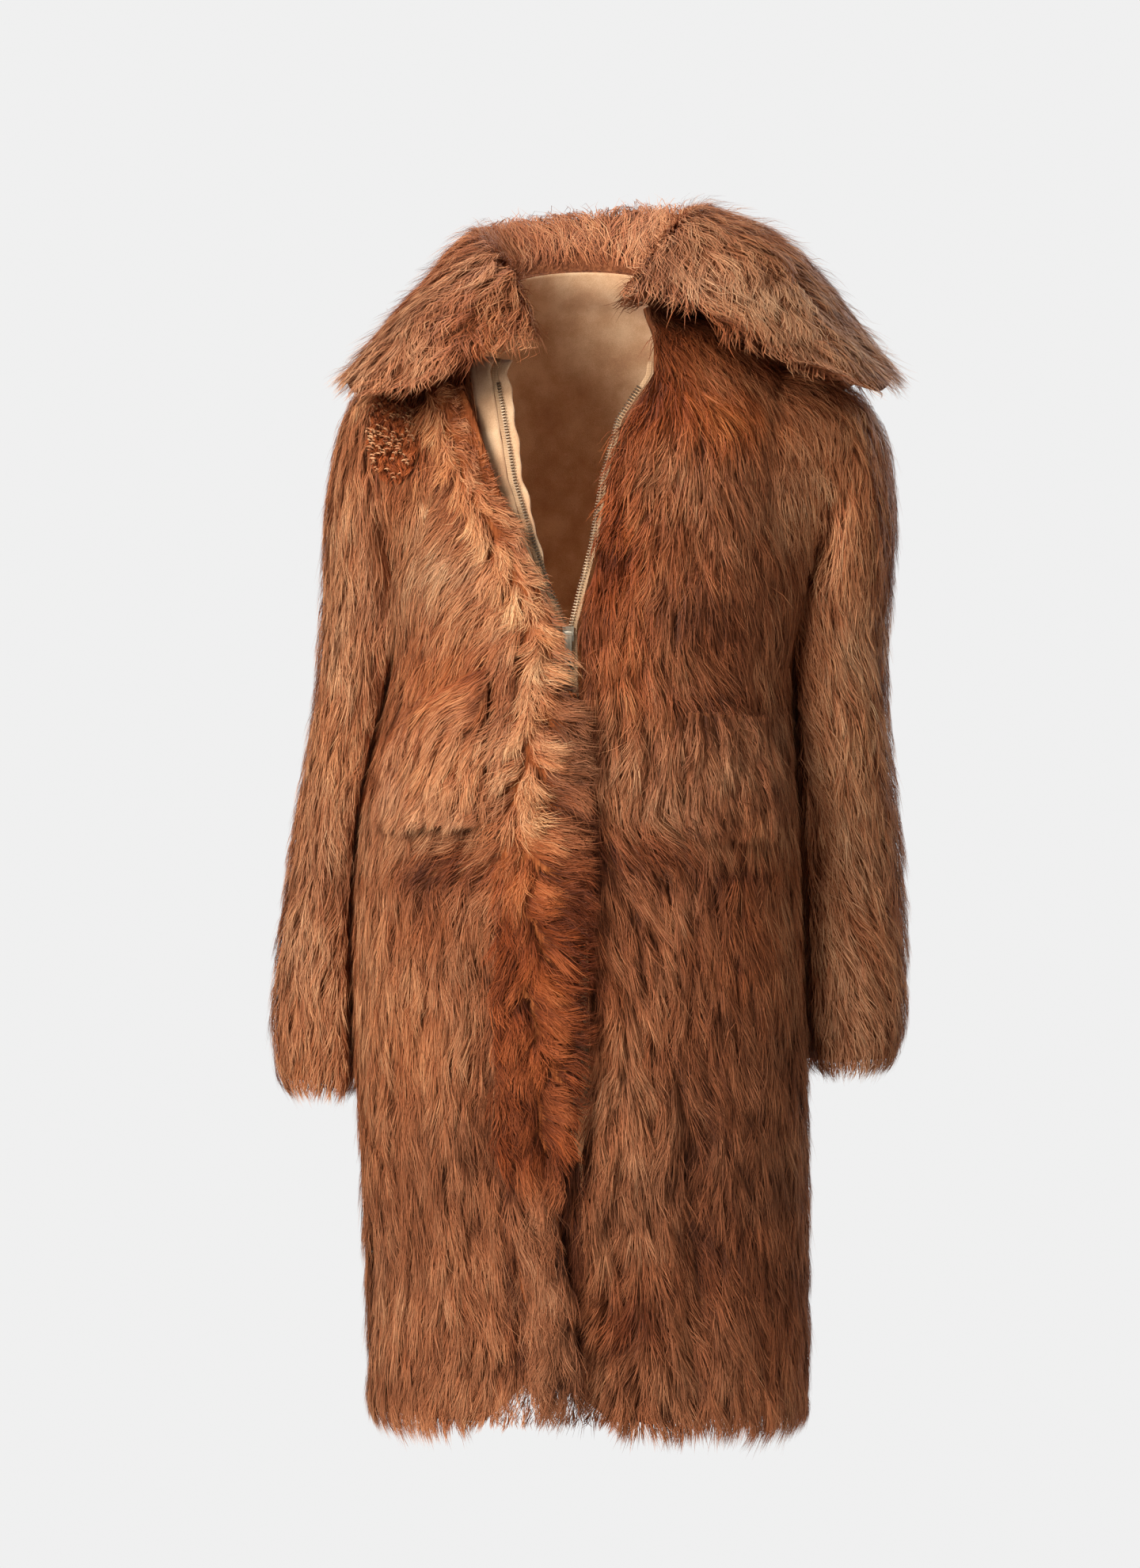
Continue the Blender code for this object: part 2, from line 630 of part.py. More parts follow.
def build_slider(metal_finish):
    """A plate on the teeth with two ears and a pin, and the tab that swings on the pin."""
    x = edge_at("right", vee_bottom)
    heights = np.array([vee_bottom - slider_high, vee_bottom])
    row = row_of(heights)
    tape = body_point(front_turn(np.full(2, x), row), row, tape_out + tape_wall, folded=False)
    back = tape[:, 1].min() - metal_gap
    plate_y = back - slider_deep / 2
    z = vee_bottom - slider_high / 2
    pin_y = back - slider_deep - pin_out
    slider = add_block("zip_slider", (x, plate_y, z), (slider_wide, slider_deep, slider_high),
                       metal_finish)
    for side in (-1, 1):
        ear_x = x + side * (tab_wide / 2 + metal_gap + ear_wide / 2)
        ear = add_block("ear", (ear_x, (back + pin_y - pin_radius) / 2 - ear_wide / 2, z),
                        (ear_wide, back - pin_y + pin_radius, ear_high), metal_finish)
        combine(slider, ear, "UNION")
    pin = add_rod("pin", (x, pin_y, z), pin_radius, tab_wide + 2 * metal_gap + ear_wide,
                  metal_finish)
    combine(slider, pin, "UNION")

    tab = add_rod("zip_pull", (x, pin_y, z), eye_radius, tab_wide, metal_finish, 20)
    blade = add_block("blade", (x, pin_y, z - tab_long / 2), (tab_wide, tab_thick, tab_long),
                      metal_finish)
    combine(tab, blade, "UNION")
    bore = add_rod("bore", (x, pin_y, z), pin_radius + metal_gap, tab_wide * 1.5, metal_finish)
    combine(tab, bore, "DIFFERENCE")
    bpy.ops.mesh.primitive_cylinder_add(vertices=16, radius=tab_hole, depth=4 * tab_thick,
                                        location=(x, pin_y, z - tab_long + 2.2 * tab_hole),
                                        rotation=(np.pi / 2, 0.0, 0.0))
    combine(tab, link_new("hole", metal_finish), "DIFFERENCE")


def main():
    """Clears the scene and builds every piece."""
    for old in list(bpy.data.objects):
        bpy.data.objects.remove(old)
    collection = bpy.data.collections.new(collection_name)
    bpy.context.scene.collection.children.link(collection)

    fur = material("fur", (0.45, 0.20, 0.09), 0.75)
    suede = material("suede", (0.72, 0.56, 0.36), 0.85)
    tape = material("zip_tape", (0.66, 0.53, 0.38), 0.80)
    metal = material("zip_metal", (0.62, 0.60, 0.56), 0.30, 1.0)

    build_panel("back", side_turn, lambda rows: np.pi - side_turn(rows), 26, fur)
    build_panel("front_left", front_edge_turn("left"), lambda rows: -side_turn(rows), 15, fur)
    build_panel("front_right", front_edge_turn("right"), lambda rows: side_turn(rows) - np.pi,
                13, fur)
    build_sleeve("sleeve_right", fur)
    build_sleeve("sleeve_left", fur)
    build_collar(fur)
    build_placket(fur)
    for row in pocket_table:
        build_pocket(row, fur)
    build_zip(tape, suede)
    build_slider(metal)


main()
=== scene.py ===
# Shearling coat, fur side out: pelts, hair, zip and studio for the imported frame.
import math
import bpy
import numpy as np
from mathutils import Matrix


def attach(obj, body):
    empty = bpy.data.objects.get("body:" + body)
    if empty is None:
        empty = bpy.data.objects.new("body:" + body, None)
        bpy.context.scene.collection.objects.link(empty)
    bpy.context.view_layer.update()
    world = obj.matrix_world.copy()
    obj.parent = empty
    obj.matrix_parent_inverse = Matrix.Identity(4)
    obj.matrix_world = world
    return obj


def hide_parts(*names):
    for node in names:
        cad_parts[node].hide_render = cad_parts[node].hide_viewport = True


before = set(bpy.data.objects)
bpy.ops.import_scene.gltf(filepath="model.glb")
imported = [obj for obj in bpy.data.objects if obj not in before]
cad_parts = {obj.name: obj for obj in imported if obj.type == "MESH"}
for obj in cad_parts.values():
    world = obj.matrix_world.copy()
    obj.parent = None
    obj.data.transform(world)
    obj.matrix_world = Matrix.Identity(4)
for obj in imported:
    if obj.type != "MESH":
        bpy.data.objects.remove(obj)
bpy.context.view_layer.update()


# the tables are written in millimetres, the scene is in metres
def inMetres(table):
    if isinstance(table, dict):
        return {name: inMetres(values) for name, values in table.items()}
    return np.array(table, float) / 1000.0


# rows of the body from hem to neck: height in front and behind, reach to each side and to front and back
bodyRows = inMetres({
    "frontZ": (-930, -800, -670, -545, -430, -325, -230, -150, -85, -45, -22, -8),
    "backZ": (-930, -800, -670, -545, -430, -325, -230, -135, -40, 5, 28, 44),
    "right": (-181, -184, -190, -193, -187, -164, -152, -152, -144, -116, -85, -78),
    "left": (193, 193, 192, 187, 182, 176, 180, 186, 176, 132, 89, 82),
    "front": (-152, -154, -157, -160, -159, -152, -143, -134, -126, -112, -94, -88),
    "back": (120, 119, 119, 118, 113, 105, 107, 112, 106, 90, 72, 64),
})
# how boxy each section is and how much narrower it is behind
bodyRows["square"] = (2.30, 2.30, 2.25, 2.20, 2.15, 2.15, 2.20, 2.25, 2.20, 2.10, 2.00, 2.00)
bodyRows["taper"] = (0.04, 0.06, 0.25, 0.42, 0.46, 0.40, 0.18, 0.00, 0.00, 0.00, 0.00, 0.00)
armhole = {"middle": (8.35 + 6.02) / 2, "half": (8.35 - 6.02) / 2, "turn": 0.62}
pile = {"body": 0.014, "pocket": 0.009}
hemScallop = 0.007
seamGap = 0.0004
neckRow = 11.0

# line of the zip's teeth on each side by height, and how far the fur stands back from it
edgeRows = inMetres({
    "z": (-960, -760, -700, -500, -272, -240, -205, -150, -100, -60, -45, -22, -8),
    "right": (4, 0, -1, -6, -11.5, -26.5, -40, -58, -67, -74, -70, -62, -56),
    "left": (4, 0, -1, -6, -11.5, -3.5, 6, 15, 28.5, 54, 56, 56, 54),
    "rightBack": (1.6, 2, 20, 20, 20, 18, 16.5, 19, 27, 26, 20, 8, 6),
    "leftBack": (1.6, 2, 10, 10, 10, 10, 9.5, 9, 8, 7, 6, 6, 5),
})
# edges of the fur strip over the zip
stripRows = inMetres({
    "z": (-918, -895, -830, -735, -690, -600, -490, -430, -338, -327, -318, -265, -210, -150, -100, -76),
    "outer": (-33, -42, -52, -60, -70, -74, -66.5, -71, -69, -68, -66, -64, -80, -104, -125, -130),
    "inner": (3, 2, -5, -19, -8, -2, 3, 1, 0, -2, -20.5, -21.5, -46, -68, -84, -96),
})
# where the hair parts on the strip
ridgeRows = inMetres({
    "z": (-690, -600, -470, -342, -285, -208, -124, -76),
    "x": (-30, -35, -44, -41, -34, -70, -113, -124),
})
# x and z of the corners: top inner, top outer, low inner, low outer
pocketCorners = inMetres({
    "pocket_right": (-73, -300, -146, -340, -74.5, -432, -172, -435),
    "pocket_left": (83, -338, 156, -342, 80, -440, 162, -442),
})
# large folds: side (1 front, -1 back), x, z, half width, half height, depth
bodyFolds = np.array((
    (1, -105, -462, 50, 12, 8.5), (1, -75, -480, 20, 22, 7.0), (1, 115, -315, 60, 14, 6.5),
    (1, -88, -700, 11, 190, 7.0), (1, 96, -780, 15, 150, 8.5), (1, 40, -800, 24, 50, 7.5),
    (1, -140, -780, 16, 120, 6.5), (1, 80, -230, 30, 30, 5.0), (-1, 30, -340, 90, 16, 8.0),
    (-1, -70, -395, 60, 14, 6.5), (-1, -85, -720, 17, 170, 9.0), (-1, 12, -780, 16, 120, 7.5),
    (-1, 105, -700, 17, 180, 9.0),
)) / (1, 1000, 1000, 1000, 1000, 1000)
# rings of each sleeve: x, y, z, half size across and along Y, lean in degrees
sleeveRings = {
    "sleeve_right": (
        (-176, 8, -146, 78, 70, 14), (-182, 14, -197, 56, 69, 40), (-176, 24, -285, 50, 67, 84),
        (-185, 34, -370, 52, 66, 90), (-194, 40, -430, 54, 64, 90), (-204, 36, -520, 56, 61, 92),
        (-212, 28, -595, 54, 58, 92), (-211, 24, -660, 50, 55, 90)),
    "sleeve_left": (
        (216, 10, -146, 78, 70, 20), (225, 16, -197, 60, 70, 46), (204, 26, -290, 59, 68, 88),
        (206, 34, -370, 60, 67, 90), (213, 40, -430, 61, 65, 90), (219, 34, -520, 60, 62, 88),
        (222, 26, -590, 57, 59, 88), (219, 22, -640, 53, 56, 90)),
}
# stations of the collar: angle round the neck, then x, y, z of fold, middle and edge
collarStations = np.array((
    (218, -36, -112, -34, -110, -150, -58, -184, -124, -80),
    (204, -58, -86, 30, -134, -92, 0, -200, -88, -72),
    (180, -88, -5, 64, -142, 10, 16, -200, 10, -54),
    (146, -76, 72, 82, -120, 112, 20, -165, 143, -78),
    (112, -35, 96, 90, -50, 140, 24, -70, 166, -100),
    (72, 35, 98, 98, 55, 140, 32, 80, 166, -100),
    (36, 80, 76, 96, 140, 108, 48, 200, 140, -75),
    (4, 96, -4, 86, 182, 12, 52, 264, 12, -52),
    (-22, 78, -78, 68, 168, -88, 26, 256, -88, -76),
    (-44, 38, -113, 12, 122, -150, -28, 212, -132, -64),
)) / ((1,) + (1000,) * 9)


# the value held between 0 and 1
def toShare(value):
    return np.clip(value, 0.0, 1.0)


# bell: the exponential of minus the squared distances over their widths
def bell(far, width, other=0.0, otherWidth=1.0):
    return np.exp(-(far / width) ** 2 - (other / otherWidth) ** 2)


# length of each vector, and below it the vectors brought to length 1
def lengthOf(vectors):
    return np.linalg.norm(vectors, axis=-1)


def unit(vectors):
    return vectors / np.maximum(lengthOf(vectors)[..., None], 1e-9)


# row and column number of every place on a grid
def gridOf(rows, columns):
    return np.broadcast_arrays(rows[:, None], columns[None, :])


# a table's column read at a height, straight between its rows
def atHeight(table, name, z):
    return np.interp(z, table["z"], table[name])


# x of the placket's outer and inner edge at a height
def stripOuter(z):
    return atHeight(stripRows, "outer", z)


def stripInner(z):
    return atHeight(stripRows, "inner", z)


# smooth curve through the values, read at a fractional row: the cubic with central slopes
def smoothRead(values, position):
    values = np.asarray(values, float)
    position = np.clip(position, 0.0, len(values) - 1.0)
    low = np.minimum(position.astype(int), len(values) - 2)
    part = position - low
    slopes = np.gradient(values, axis=0)
    if values.ndim > 1:
        part = part.reshape(part.shape + (1,) * (values.ndim - 1))
    square, cube = part ** 2, part ** 3
    return ((2 * cube - 3 * square + 1) * values[low] + (cube - 2 * square + part) * slopes[low]
            + (3 * square - 2 * cube) * values[low + 1] + (cube - square) * slopes[low + 1])


# every measure of the body's table at these rows
def bodyShape(row):
    return {name: smoothRead(values, row) for name, values in bodyRows.items()}


# section of the body: a superellipse, narrower behind, tilted from front to back height, its hem scalloped
# by three sine waves
def bodyPlain(turn, row):
    shape = bodyShape(row)
    across, along = (np.sign(part) * np.abs(part) ** (2.0 / shape["square"])
                     for part in (np.cos(turn), np.sin(turn)))
    across = across * (1 - shape["taper"] * toShare(along) ** 2)
    x, y, z = ((shape[high] + shape[low]) / 2 + (shape[high] - shape[low]) / 2 * part
               for low, high, part in (("right", "left", across), ("front", "back", along),
                                       ("frontZ", "backZ", along)))
    wave = np.sin(5 * turn + 0.7) + 0.6 * np.sin(8 * turn + 2.1) + 0.4 * np.sin(13 * turn)
    z = z + hemScallop * (0.5 + 0.25 * wave) * toShare(1 - row / 0.9) ** 2
    return np.stack([x, y, z], axis=-1)


# share of the front, or with side -1 of the back, at each point
def facingShare(points, side=1):
    return toShare(0.5 - side * (points[..., 1] + 0.02) / 0.06)


# the body's outside: the plain section moved in along its normal by the sum of the folds' bells
def bodyPoint(turn, row, folded=True):
    stepTurn, stepRow = 0.001, 0.02
    here = bodyPlain(turn, row)
    above, below = np.minimum(row + stepRow, neckRow), np.maximum(row - stepRow, 0.0)
    roundBody = bodyPlain(turn + stepTurn, row) - bodyPlain(turn - stepTurn, row)
    upBody = bodyPlain(turn, above) - bodyPlain(turn, below)
    normal = unit(np.cross(roundBody, upBody))
    sink = np.zeros(here.shape[:-1])
    if folded:
        for side, x, z, wide, high, depth in bodyFolds:
            sink += facingShare(here, side) * depth * bell(here[..., 0] - x, wide, here[..., 2] - z, high)
    return here - normal * sink[..., None], normal


# a surface kept as a fine grid of points with its normals and its steps along rows and columns
def makeSurface(points, wrap, outward=None):
    stepRow = np.gradient(points, axis=0)
    if wrap:
        stepColumn = (np.roll(points, -1, axis=1) - np.roll(points, 1, axis=1)) / 2
    else:
        stepColumn = np.gradient(points, axis=1)
    normal = unit(np.cross(stepColumn, stepRow))
    if outward is not None and (normal * outward).sum(axis=-1).mean() < 0:
        normal = -normal
    return {"points": points, "normal": normal, "stepRow": stepRow, "stepColumn": stepColumn, "wrap": wrap}


# bilinear reading of a grid; past its open edges the surface runs on straight
def readSurface(surface, i, j, names=("points", "normal")):
    wrap = surface["wrap"]
    rows, columns = surface["points"].shape[:2]
    insideI = np.clip(i, 0.0, rows - 1.0)
    insideJ = np.mod(j, columns) if wrap else np.clip(j, 0.0, columns - 1.0)
    lowI = np.minimum(insideI.astype(int), rows - 2)
    lowJ = np.minimum(insideJ.astype(int), columns - (1 if wrap else 2))
    highJ = (lowJ + 1) % columns
    partI = (insideI - lowI)[..., None]
    partJ = (insideJ - lowJ)[..., None]
    found = []
    for name in names:
        grid = surface[name]
        low = grid[lowI, lowJ] * (1 - partJ) + grid[lowI, highJ] * partJ
        high = grid[lowI + 1, lowJ] * (1 - partJ) + grid[lowI + 1, highJ] * partJ
        value = low * (1 - partI) + high * partI
        if name == "points":
            value = value + (i - insideI)[..., None] * surface["stepRow"][lowI, lowJ]
            if not wrap:
                value = value + (j - insideJ)[..., None] * surface["stepColumn"][lowI, lowJ]
        found.append(value)
    return found


bodyFine = {"rows": 420, "turns": 640}


# body surface: rows of the table down the grid, turns from -180 to 180 degrees across it
def makeBodySurface():
    row, turn = gridOf(np.linspace(0.0, neckRow, bodyFine["rows"]),
                       np.linspace(-math.pi, math.pi, bodyFine["turns"]))
    points, normal = bodyPoint(turn, row)
    return makeSurface(points, False, normal)


# the table's rows and turns as places on the fine grid, and back
def rowToIndex(row):
    return np.asarray(row, float) / neckRow * (bodyFine["rows"] - 1)


def indexToRow(i):
    return i / (bodyFine["rows"] - 1) * neckRow


def turnToIndex(turn):
    return (np.asarray(turn, float) + math.pi) / (2 * math.pi) * (bodyFine["turns"] - 1)


# table row at a height of the middle of the front
def rowOf(heights):
    rows = np.linspace(0.0, neckRow, 801)
    return np.interp(heights, smoothRead(bodyRows["frontZ"], rows), rows)


# angle of the front point with this x, the superellipse solved for its angle
def frontTurn(x, row):
    right, left = smoothRead(bodyRows["right"], row), smoothRead(bodyRows["left"], row)
    part = np.clip((x - (left + right) / 2) / ((left - right) / 2), -1.0, 1.0)
    return -np.arccos(np.sign(part) * np.abs(part) ** (smoothRead(bodyRows["square"], row) / 2))


# the pelts close in round the sleeves, whose own pelts are smaller than their fur
armholeHalf = armhole["half"] * 0.84
armholeTurn = armhole["turn"] * 0.84


# angle from a panel's side seam, or the armhole's edge, to the middle of the side
def sideTurn(row):
    inside = toShare(1 - ((row - armhole["middle"]) / armholeHalf) ** 2)
    deep = (smoothRead(bodyRows["back"], row) - smoothRead(bodyRows["front"], row)) / 2
    gap = np.arcsin((seamGap / 2 / deep) ** (smoothRead(bodyRows["square"], row) / 2))
    return np.maximum(gap, armholeTurn * np.sqrt(inside))


# angle of a front's open edge; below the zip's foot the pelts reach on until they nearly meet
def edgeTurn(side, row):
    z = smoothRead(bodyRows["frontZ"], row)
    back = atHeight(edgeRows, side + "Back", z) * (1 - 0.9 * toShare((-0.670 - z) / 0.025))
    x = atHeight(edgeRows, side, z)
    return frontTurn(x - back if side == "right" else x + back, row)


panelEdges = {
    "back": (sideTurn, lambda row: math.pi - sideTurn(row)),
    "front_left": (lambda row: edgeTurn("left", row), lambda row: -sideTurn(row)),
    "front_right": (lambda row: edgeTurn("right", row), lambda row: sideTurn(row) - math.pi),
}
sleeveRoot = 28     # rows of the sleeve's grid from inside the armhole to its cap


# sleeve surface: ellipses of the table joined by a smooth curve through all rings
def makeSleeveSurface(name):
    side = 1.0 if name == "sleeve_left" else -1.0
    phase = np.linspace(0.0, 2 * math.pi, 121)[:-1]
    turn = armhole["turn"] * np.sin(phase)
    turn = math.pi - turn if side < 0 else turn
    root, normal = bodyPoint(turn, armhole["middle"] + armhole["half"] * np.cos(phase))
    rings = [root - normal * pile["body"], root + normal * 0.001]
    for ring in sleeveRings[name]:
        x, y, z, across, deep = inMetres(ring[:5])
        tilt = math.radians(ring[5])
        up = np.array([side * math.sin(tilt), 0.0, math.cos(tilt)]) * across
        rings.append(np.array([x, y, z]) + np.cos(phase)[:, None] * up
                     + np.sin(phase)[:, None] * np.array([0.0, deep, 0.0]))
    places = np.concatenate([np.linspace(0.3, 2.0, sleeveRoot)[:-1], np.linspace(2.0, len(rings) - 1.0, 200)])
    points = smoothRead(np.array(rings), places)
    points[sleeveRoot:] = clearOfBody(points[sleeveRoot:])
    return makeSurface(points, True, points - points.mean(axis=1, keepdims=True))


# a sleeve's points below the armhole pushed sideways out of the body's level section
def clearOfBody(points, clearance=0.002):
    shape = bodyShape(rowOf(points[..., 2]))
    middle = (shape["left"] + shape["right"]) / 2
    dy = (points[..., 1] - (shape["back"] + shape["front"]) / 2) / ((shape["back"] - shape["front"]) / 2)
    narrow = 1 - shape["taper"] * toShare(dy) ** 2
    reach = (toShare(1 - np.abs(dy) ** shape["square"]) ** (1 / shape["square"]) * narrow
             * (shape["left"] - shape["right"]) / 2 + clearance)
    side = np.sign(points[..., 0].mean() - middle)
    inside = ((points[..., 2] < bodyRows["frontZ"][6] + 0.004) & (np.abs(dy) < 1)
              & (side * (points[..., 0] - middle) < reach))
    moved = points.copy()
    moved[..., 0] = np.where(inside, middle + side * reach, points[..., 0])
    return moved


collarWall = {"rim": 0.014, "full": 0.020}


# collar surface: from the neck seam up the stand, over the fold and down the leaf to its edge
def makeCollarSurfaces():
    along = np.linspace(0.0, len(collarStations) - 1.0, 260)
    turn = np.radians(smoothRead(collarStations[:, 0], along))
    fold, mid, edge = (smoothRead(collarStations[:, k:k + 3], along) for k in (1, 4, 7))
    under, normal = bodyPoint(turn, np.full(turn.shape, neckRow))
    up = np.array([0.0, 0.0, 1.0])
    seam = under - normal * pile["body"] + up * 0.001
    under = under + up * 0.001
    stand = seam * 0.5 + fold * 0.5 + (seam - under) * 0.75
    bend = fold * 0.62 + mid * 0.38 + up * 0.009
    places = np.linspace(0.0, 5.0, 180)
    points = smoothRead(np.stack([seam, stand, fold, bend, mid, edge]), places)
    surface = makeSurface(points, False)
    if surface["normal"][-20:, :, 2].mean() < 0:
        surface["normal"] = -surface["normal"]
    rim, full = collarWall["rim"], collarWall["full"]
    thick = np.interp(places, [0.0, 1.0, 3.0, 5.0], [rim, full, full, rim])
    surface["thick"] = np.broadcast_to(thick[:, None, None], points.shape[:2] + (1,))
    below = makeSurface(points - surface["normal"] * surface["thick"], False, -surface["normal"])
    return surface, below


bodySurface = makeBodySurface()
sleeveSurfaces = {name: makeSleeveSurface(name) for name in sleeveRings}
collarTop, collarBelow = makeCollarSurfaces()
print("forms ready")

latticeSize = 32
latticeValues = np.random.default_rng(5).random((latticeSize,) * 3) * 2 - 1


# soft noise: random values on a lattice of this size, blended with a smooth step
def softNoise(points, size, shift=0.0):
    cell = points / size + shift
    low = np.floor(cell).astype(int)
    part = cell - low
    part = part * part * (3 - 2 * part)
    total = np.zeros(points.shape[:-1])
    for corner in range(8):
        offset = np.array([corner & 1, corner >> 1 & 1, corner >> 2 & 1])
        weight = np.where(offset, part, 1 - part).prod(axis=-1)
        at = (low + offset) % latticeSize
        total += weight * latticeValues[at[..., 0], at[..., 1], at[..., 2]]
    return total


# a repeatable value from 0 to 1 for a cell: the fraction of a large sine
def scramble(a, b, kind):
    value = np.sin(a * 127.1 + b * 311.7 + kind * 74.7) * 43758.5453
    return value - np.floor(value)


# a screen colour from 0 to 255 made linear by the screen's curve
def linearColour(colour):
    parts = np.array(colour) / 255.0
    parts = np.where(parts <= 0.04045, parts / 12.92, ((parts + 0.055) / 1.055) ** 2.4)
    return tuple(parts.tolist()) + (1.0,)


# a mesh put into the scene with its finishes, on the coat's body
def linkPiece(name, mesh, slot, *finishes):
    for finish in finishes:
        mesh.materials.append(finish)
    piece = bpy.data.objects.new(name, mesh)
    bpy.context.scene.collection.objects.link(piece)
    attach(piece, "coat")
    return piece


# a closed shell between an outer and an inner grid; its inner faces take the second finish
def addShell(name, outer, inner, slot, finishes, tube=False):
    rows, columns = outer.shape[:2]
    number = np.arange(rows * columns).reshape(rows, columns)
    if tube:
        number = np.concatenate([number, number[:, :1]], axis=1)
        rims = (number[0][::-1], number[-1])
    else:
        rims = (np.concatenate([number[0, ::-1], number[1:, 0], number[-1, 1:], number[-2:0:-1, -1],
                                number[0, -1:]]),)
    behind = rows * columns
    outside = np.stack([number[:-1, :-1], number[:-1, 1:], number[1:, 1:], number[1:, :-1]], axis=-1)
    outside = outside.reshape(-1, 4)
    rim = np.concatenate([np.stack([r[:-1], r[1:], r[1:] + behind, r[:-1] + behind], axis=-1) for r in rims])
    faces = np.concatenate([outside, rim, outside[:, ::-1] + behind])
    points = np.concatenate([outer.reshape(-1, 3), inner.reshape(-1, 3)])
    corner = points[faces]
    volume = (np.cross(corner[:, 0], corner[:, 1]) * corner[:, 2]).sum()
    volume += (np.cross(corner[:, 0], corner[:, 2]) * corner[:, 3]).sum()
    if volume < 0:
        faces = faces[:, ::-1]
    mesh = bpy.data.meshes.new(name)
    mesh.from_pydata(points.tolist(), [], faces.tolist())
    mesh.update()
    mesh.shade_smooth()
    piece = linkPiece(name, mesh, slot, *finishes)
    if len(finishes) > 1:
        picks = np.zeros(len(faces), int)
        picks[len(outside) + len(rim):] = 1
        mesh.polygons.foreach_set("material_index", picks)
    return piece


# a new material with these values on its shader's own sockets
def newMaterial(name, values):
    made = bpy.data.materials.new(name)
    made.use_nodes = True
    shader = made.node_tree.nodes["Principled BSDF"]
    setInputs(made.node_tree, shader, values)
    return made, made.node_tree, shader


# each input gets a number or a colour, or a link from another node's output
def setInputs(tree, node, inputs):
    for name, value in inputs.items():
        if isinstance(value, bpy.types.NodeSocket):
            tree.links.new(value, node.inputs[name])
        else:
            node.inputs[name].default_value = value


# nodes of one kind, the numbers' own node, colours by place, and a bump
def addNode(tree, kind, inputs):
    node = tree.nodes.new("ShaderNode" + kind)
    setInputs(tree, node, inputs)
    return node


def addMath(tree, operation, *values):
    node = addNode(tree, "Math", dict(enumerate(values)))
    node.operation = operation
    return node.outputs[0]


def addRamp(tree, factor, stops):
    ramp = addNode(tree, "ValToRGB", {0: factor})
    while len(ramp.color_ramp.elements) < len(stops):
        ramp.color_ramp.elements.new(0.5)
    for element, (place, colour) in zip(ramp.color_ramp.elements, stops):
        element.position = place
        element.color = linearColour(colour)
    return ramp.outputs[0]


# shared effect: a broad and a fine noise added in given shares, and the fine one alone for bumps
def makeCloudGroup():
    group = bpy.data.node_groups.new("cloudAndNap", "ShaderNodeTree")
    for name, way, kind in (("Broad Scale", "INPUT", "Float"), ("Fine Scale", "INPUT", "Float"),
                            ("Fine Share", "INPUT", "Float"), ("Cloud", "OUTPUT", "Float"),
                            ("Fine", "OUTPUT", "Float"), ("Vector", "INPUT", "Vector")):
        group.interface.new_socket(name=name, in_out=way, socket_type="NodeSocket" + kind)
    given = group.nodes.new("NodeGroupInput").outputs
    result = group.nodes.new("NodeGroupOutput")
    broad, fine = (addNode(group, "TexNoise", {"Detail": detail, "Vector": given["Vector"],
                                               "Scale": given[scale]}).outputs[0]
                   for scale, detail in (("Broad Scale", 4.0), ("Fine Scale", 2.0)))
    share = given["Fine Share"]
    cloud = addMath(group, "MULTIPLY_ADD", broad, addMath(group, "SUBTRACT", 1.0, share),
                    addMath(group, "MULTIPLY", fine, share))
    setInputs(group, result, {"Cloud": cloud, "Fine": fine})
    return group


cloudGroup = makeCloudGroup()


# the shared noises on object coordinates drawn out along Z: gives the mixed and the fine value
def addCloud(tree, broad, fine, share, alongZ=1.0):
    place = addNode(tree, "TexCoord", {})
    sizes = addNode(tree, "Mapping", {"Scale": (1.0, 1.0, alongZ), "Vector": place.outputs["Object"]})
    cloud = addNode(tree, "Group", {})
    cloud.node_tree = cloudGroup
    setInputs(tree, cloud, {"Broad Scale": broad, "Fine Scale": fine, "Fine Share": share,
                            "Vector": sizes.outputs[0]})
    return cloud.outputs["Cloud"], cloud.outputs["Fine"]


def addBump(tree, height, strength, distance):
    bump = addNode(tree, "Bump", {"Strength": strength, "Distance": distance, "Height": height})
    return bump.outputs[0]


toneLevels = 64
warmLevels = 8
furTones = {
    "cool": ((0.0, (74, 42, 27)), (0.25, (122, 73, 47)), (0.5, (166, 107, 73)), (0.75, (202, 148, 108)),
             (1.0, (232, 190, 148))),
    "warm": ((0.0, (84, 36, 16)), (0.25, (136, 62, 28)), (0.5, (184, 94, 46)), (0.75, (218, 138, 80)),
             (1.0, (242, 186, 124))),
}


# roughness and shine of a hair, how often its grain repeats across, along and in all, how much lighter or
# darker the grain makes it, how much paler the tip is, the fur's own colour, and how much darker the root is,
# painted shade deep in the pile
hairLook = {"rough": 0.52, "shine": 0.12, "across": 3.0, "along": 0.9, "grain": 1.6, "grainLift": 0.36,
            "tipLift": 0.32, "rootShade": 0.19}
# colours of the other finishes by the value of their cloud
finishRamps = {
    "furUnder": ((0.3, (70, 36, 20)), (0.5, (118, 67, 40)), (0.7, (158, 98, 62))),
    "furUnderPale": ((0.3, (96, 46, 22)), (0.5, (140, 72, 36)), (0.7, (184, 108, 60))),
    "suedeSkin": ((0.28, (184, 134, 96)), (0.46, (212, 166, 124)), (0.62, (236, 198, 156))),
    "zipTape": ((0.15, (168, 124, 86)), (0.75, (230, 192, 148))),
    "zipMetal": ((0.3, (190, 168, 138)), (0.7, (250, 238, 214))),
    "zipTeeth": ((0.3, (56, 42, 32)), (0.7, (150, 126, 100))),
}


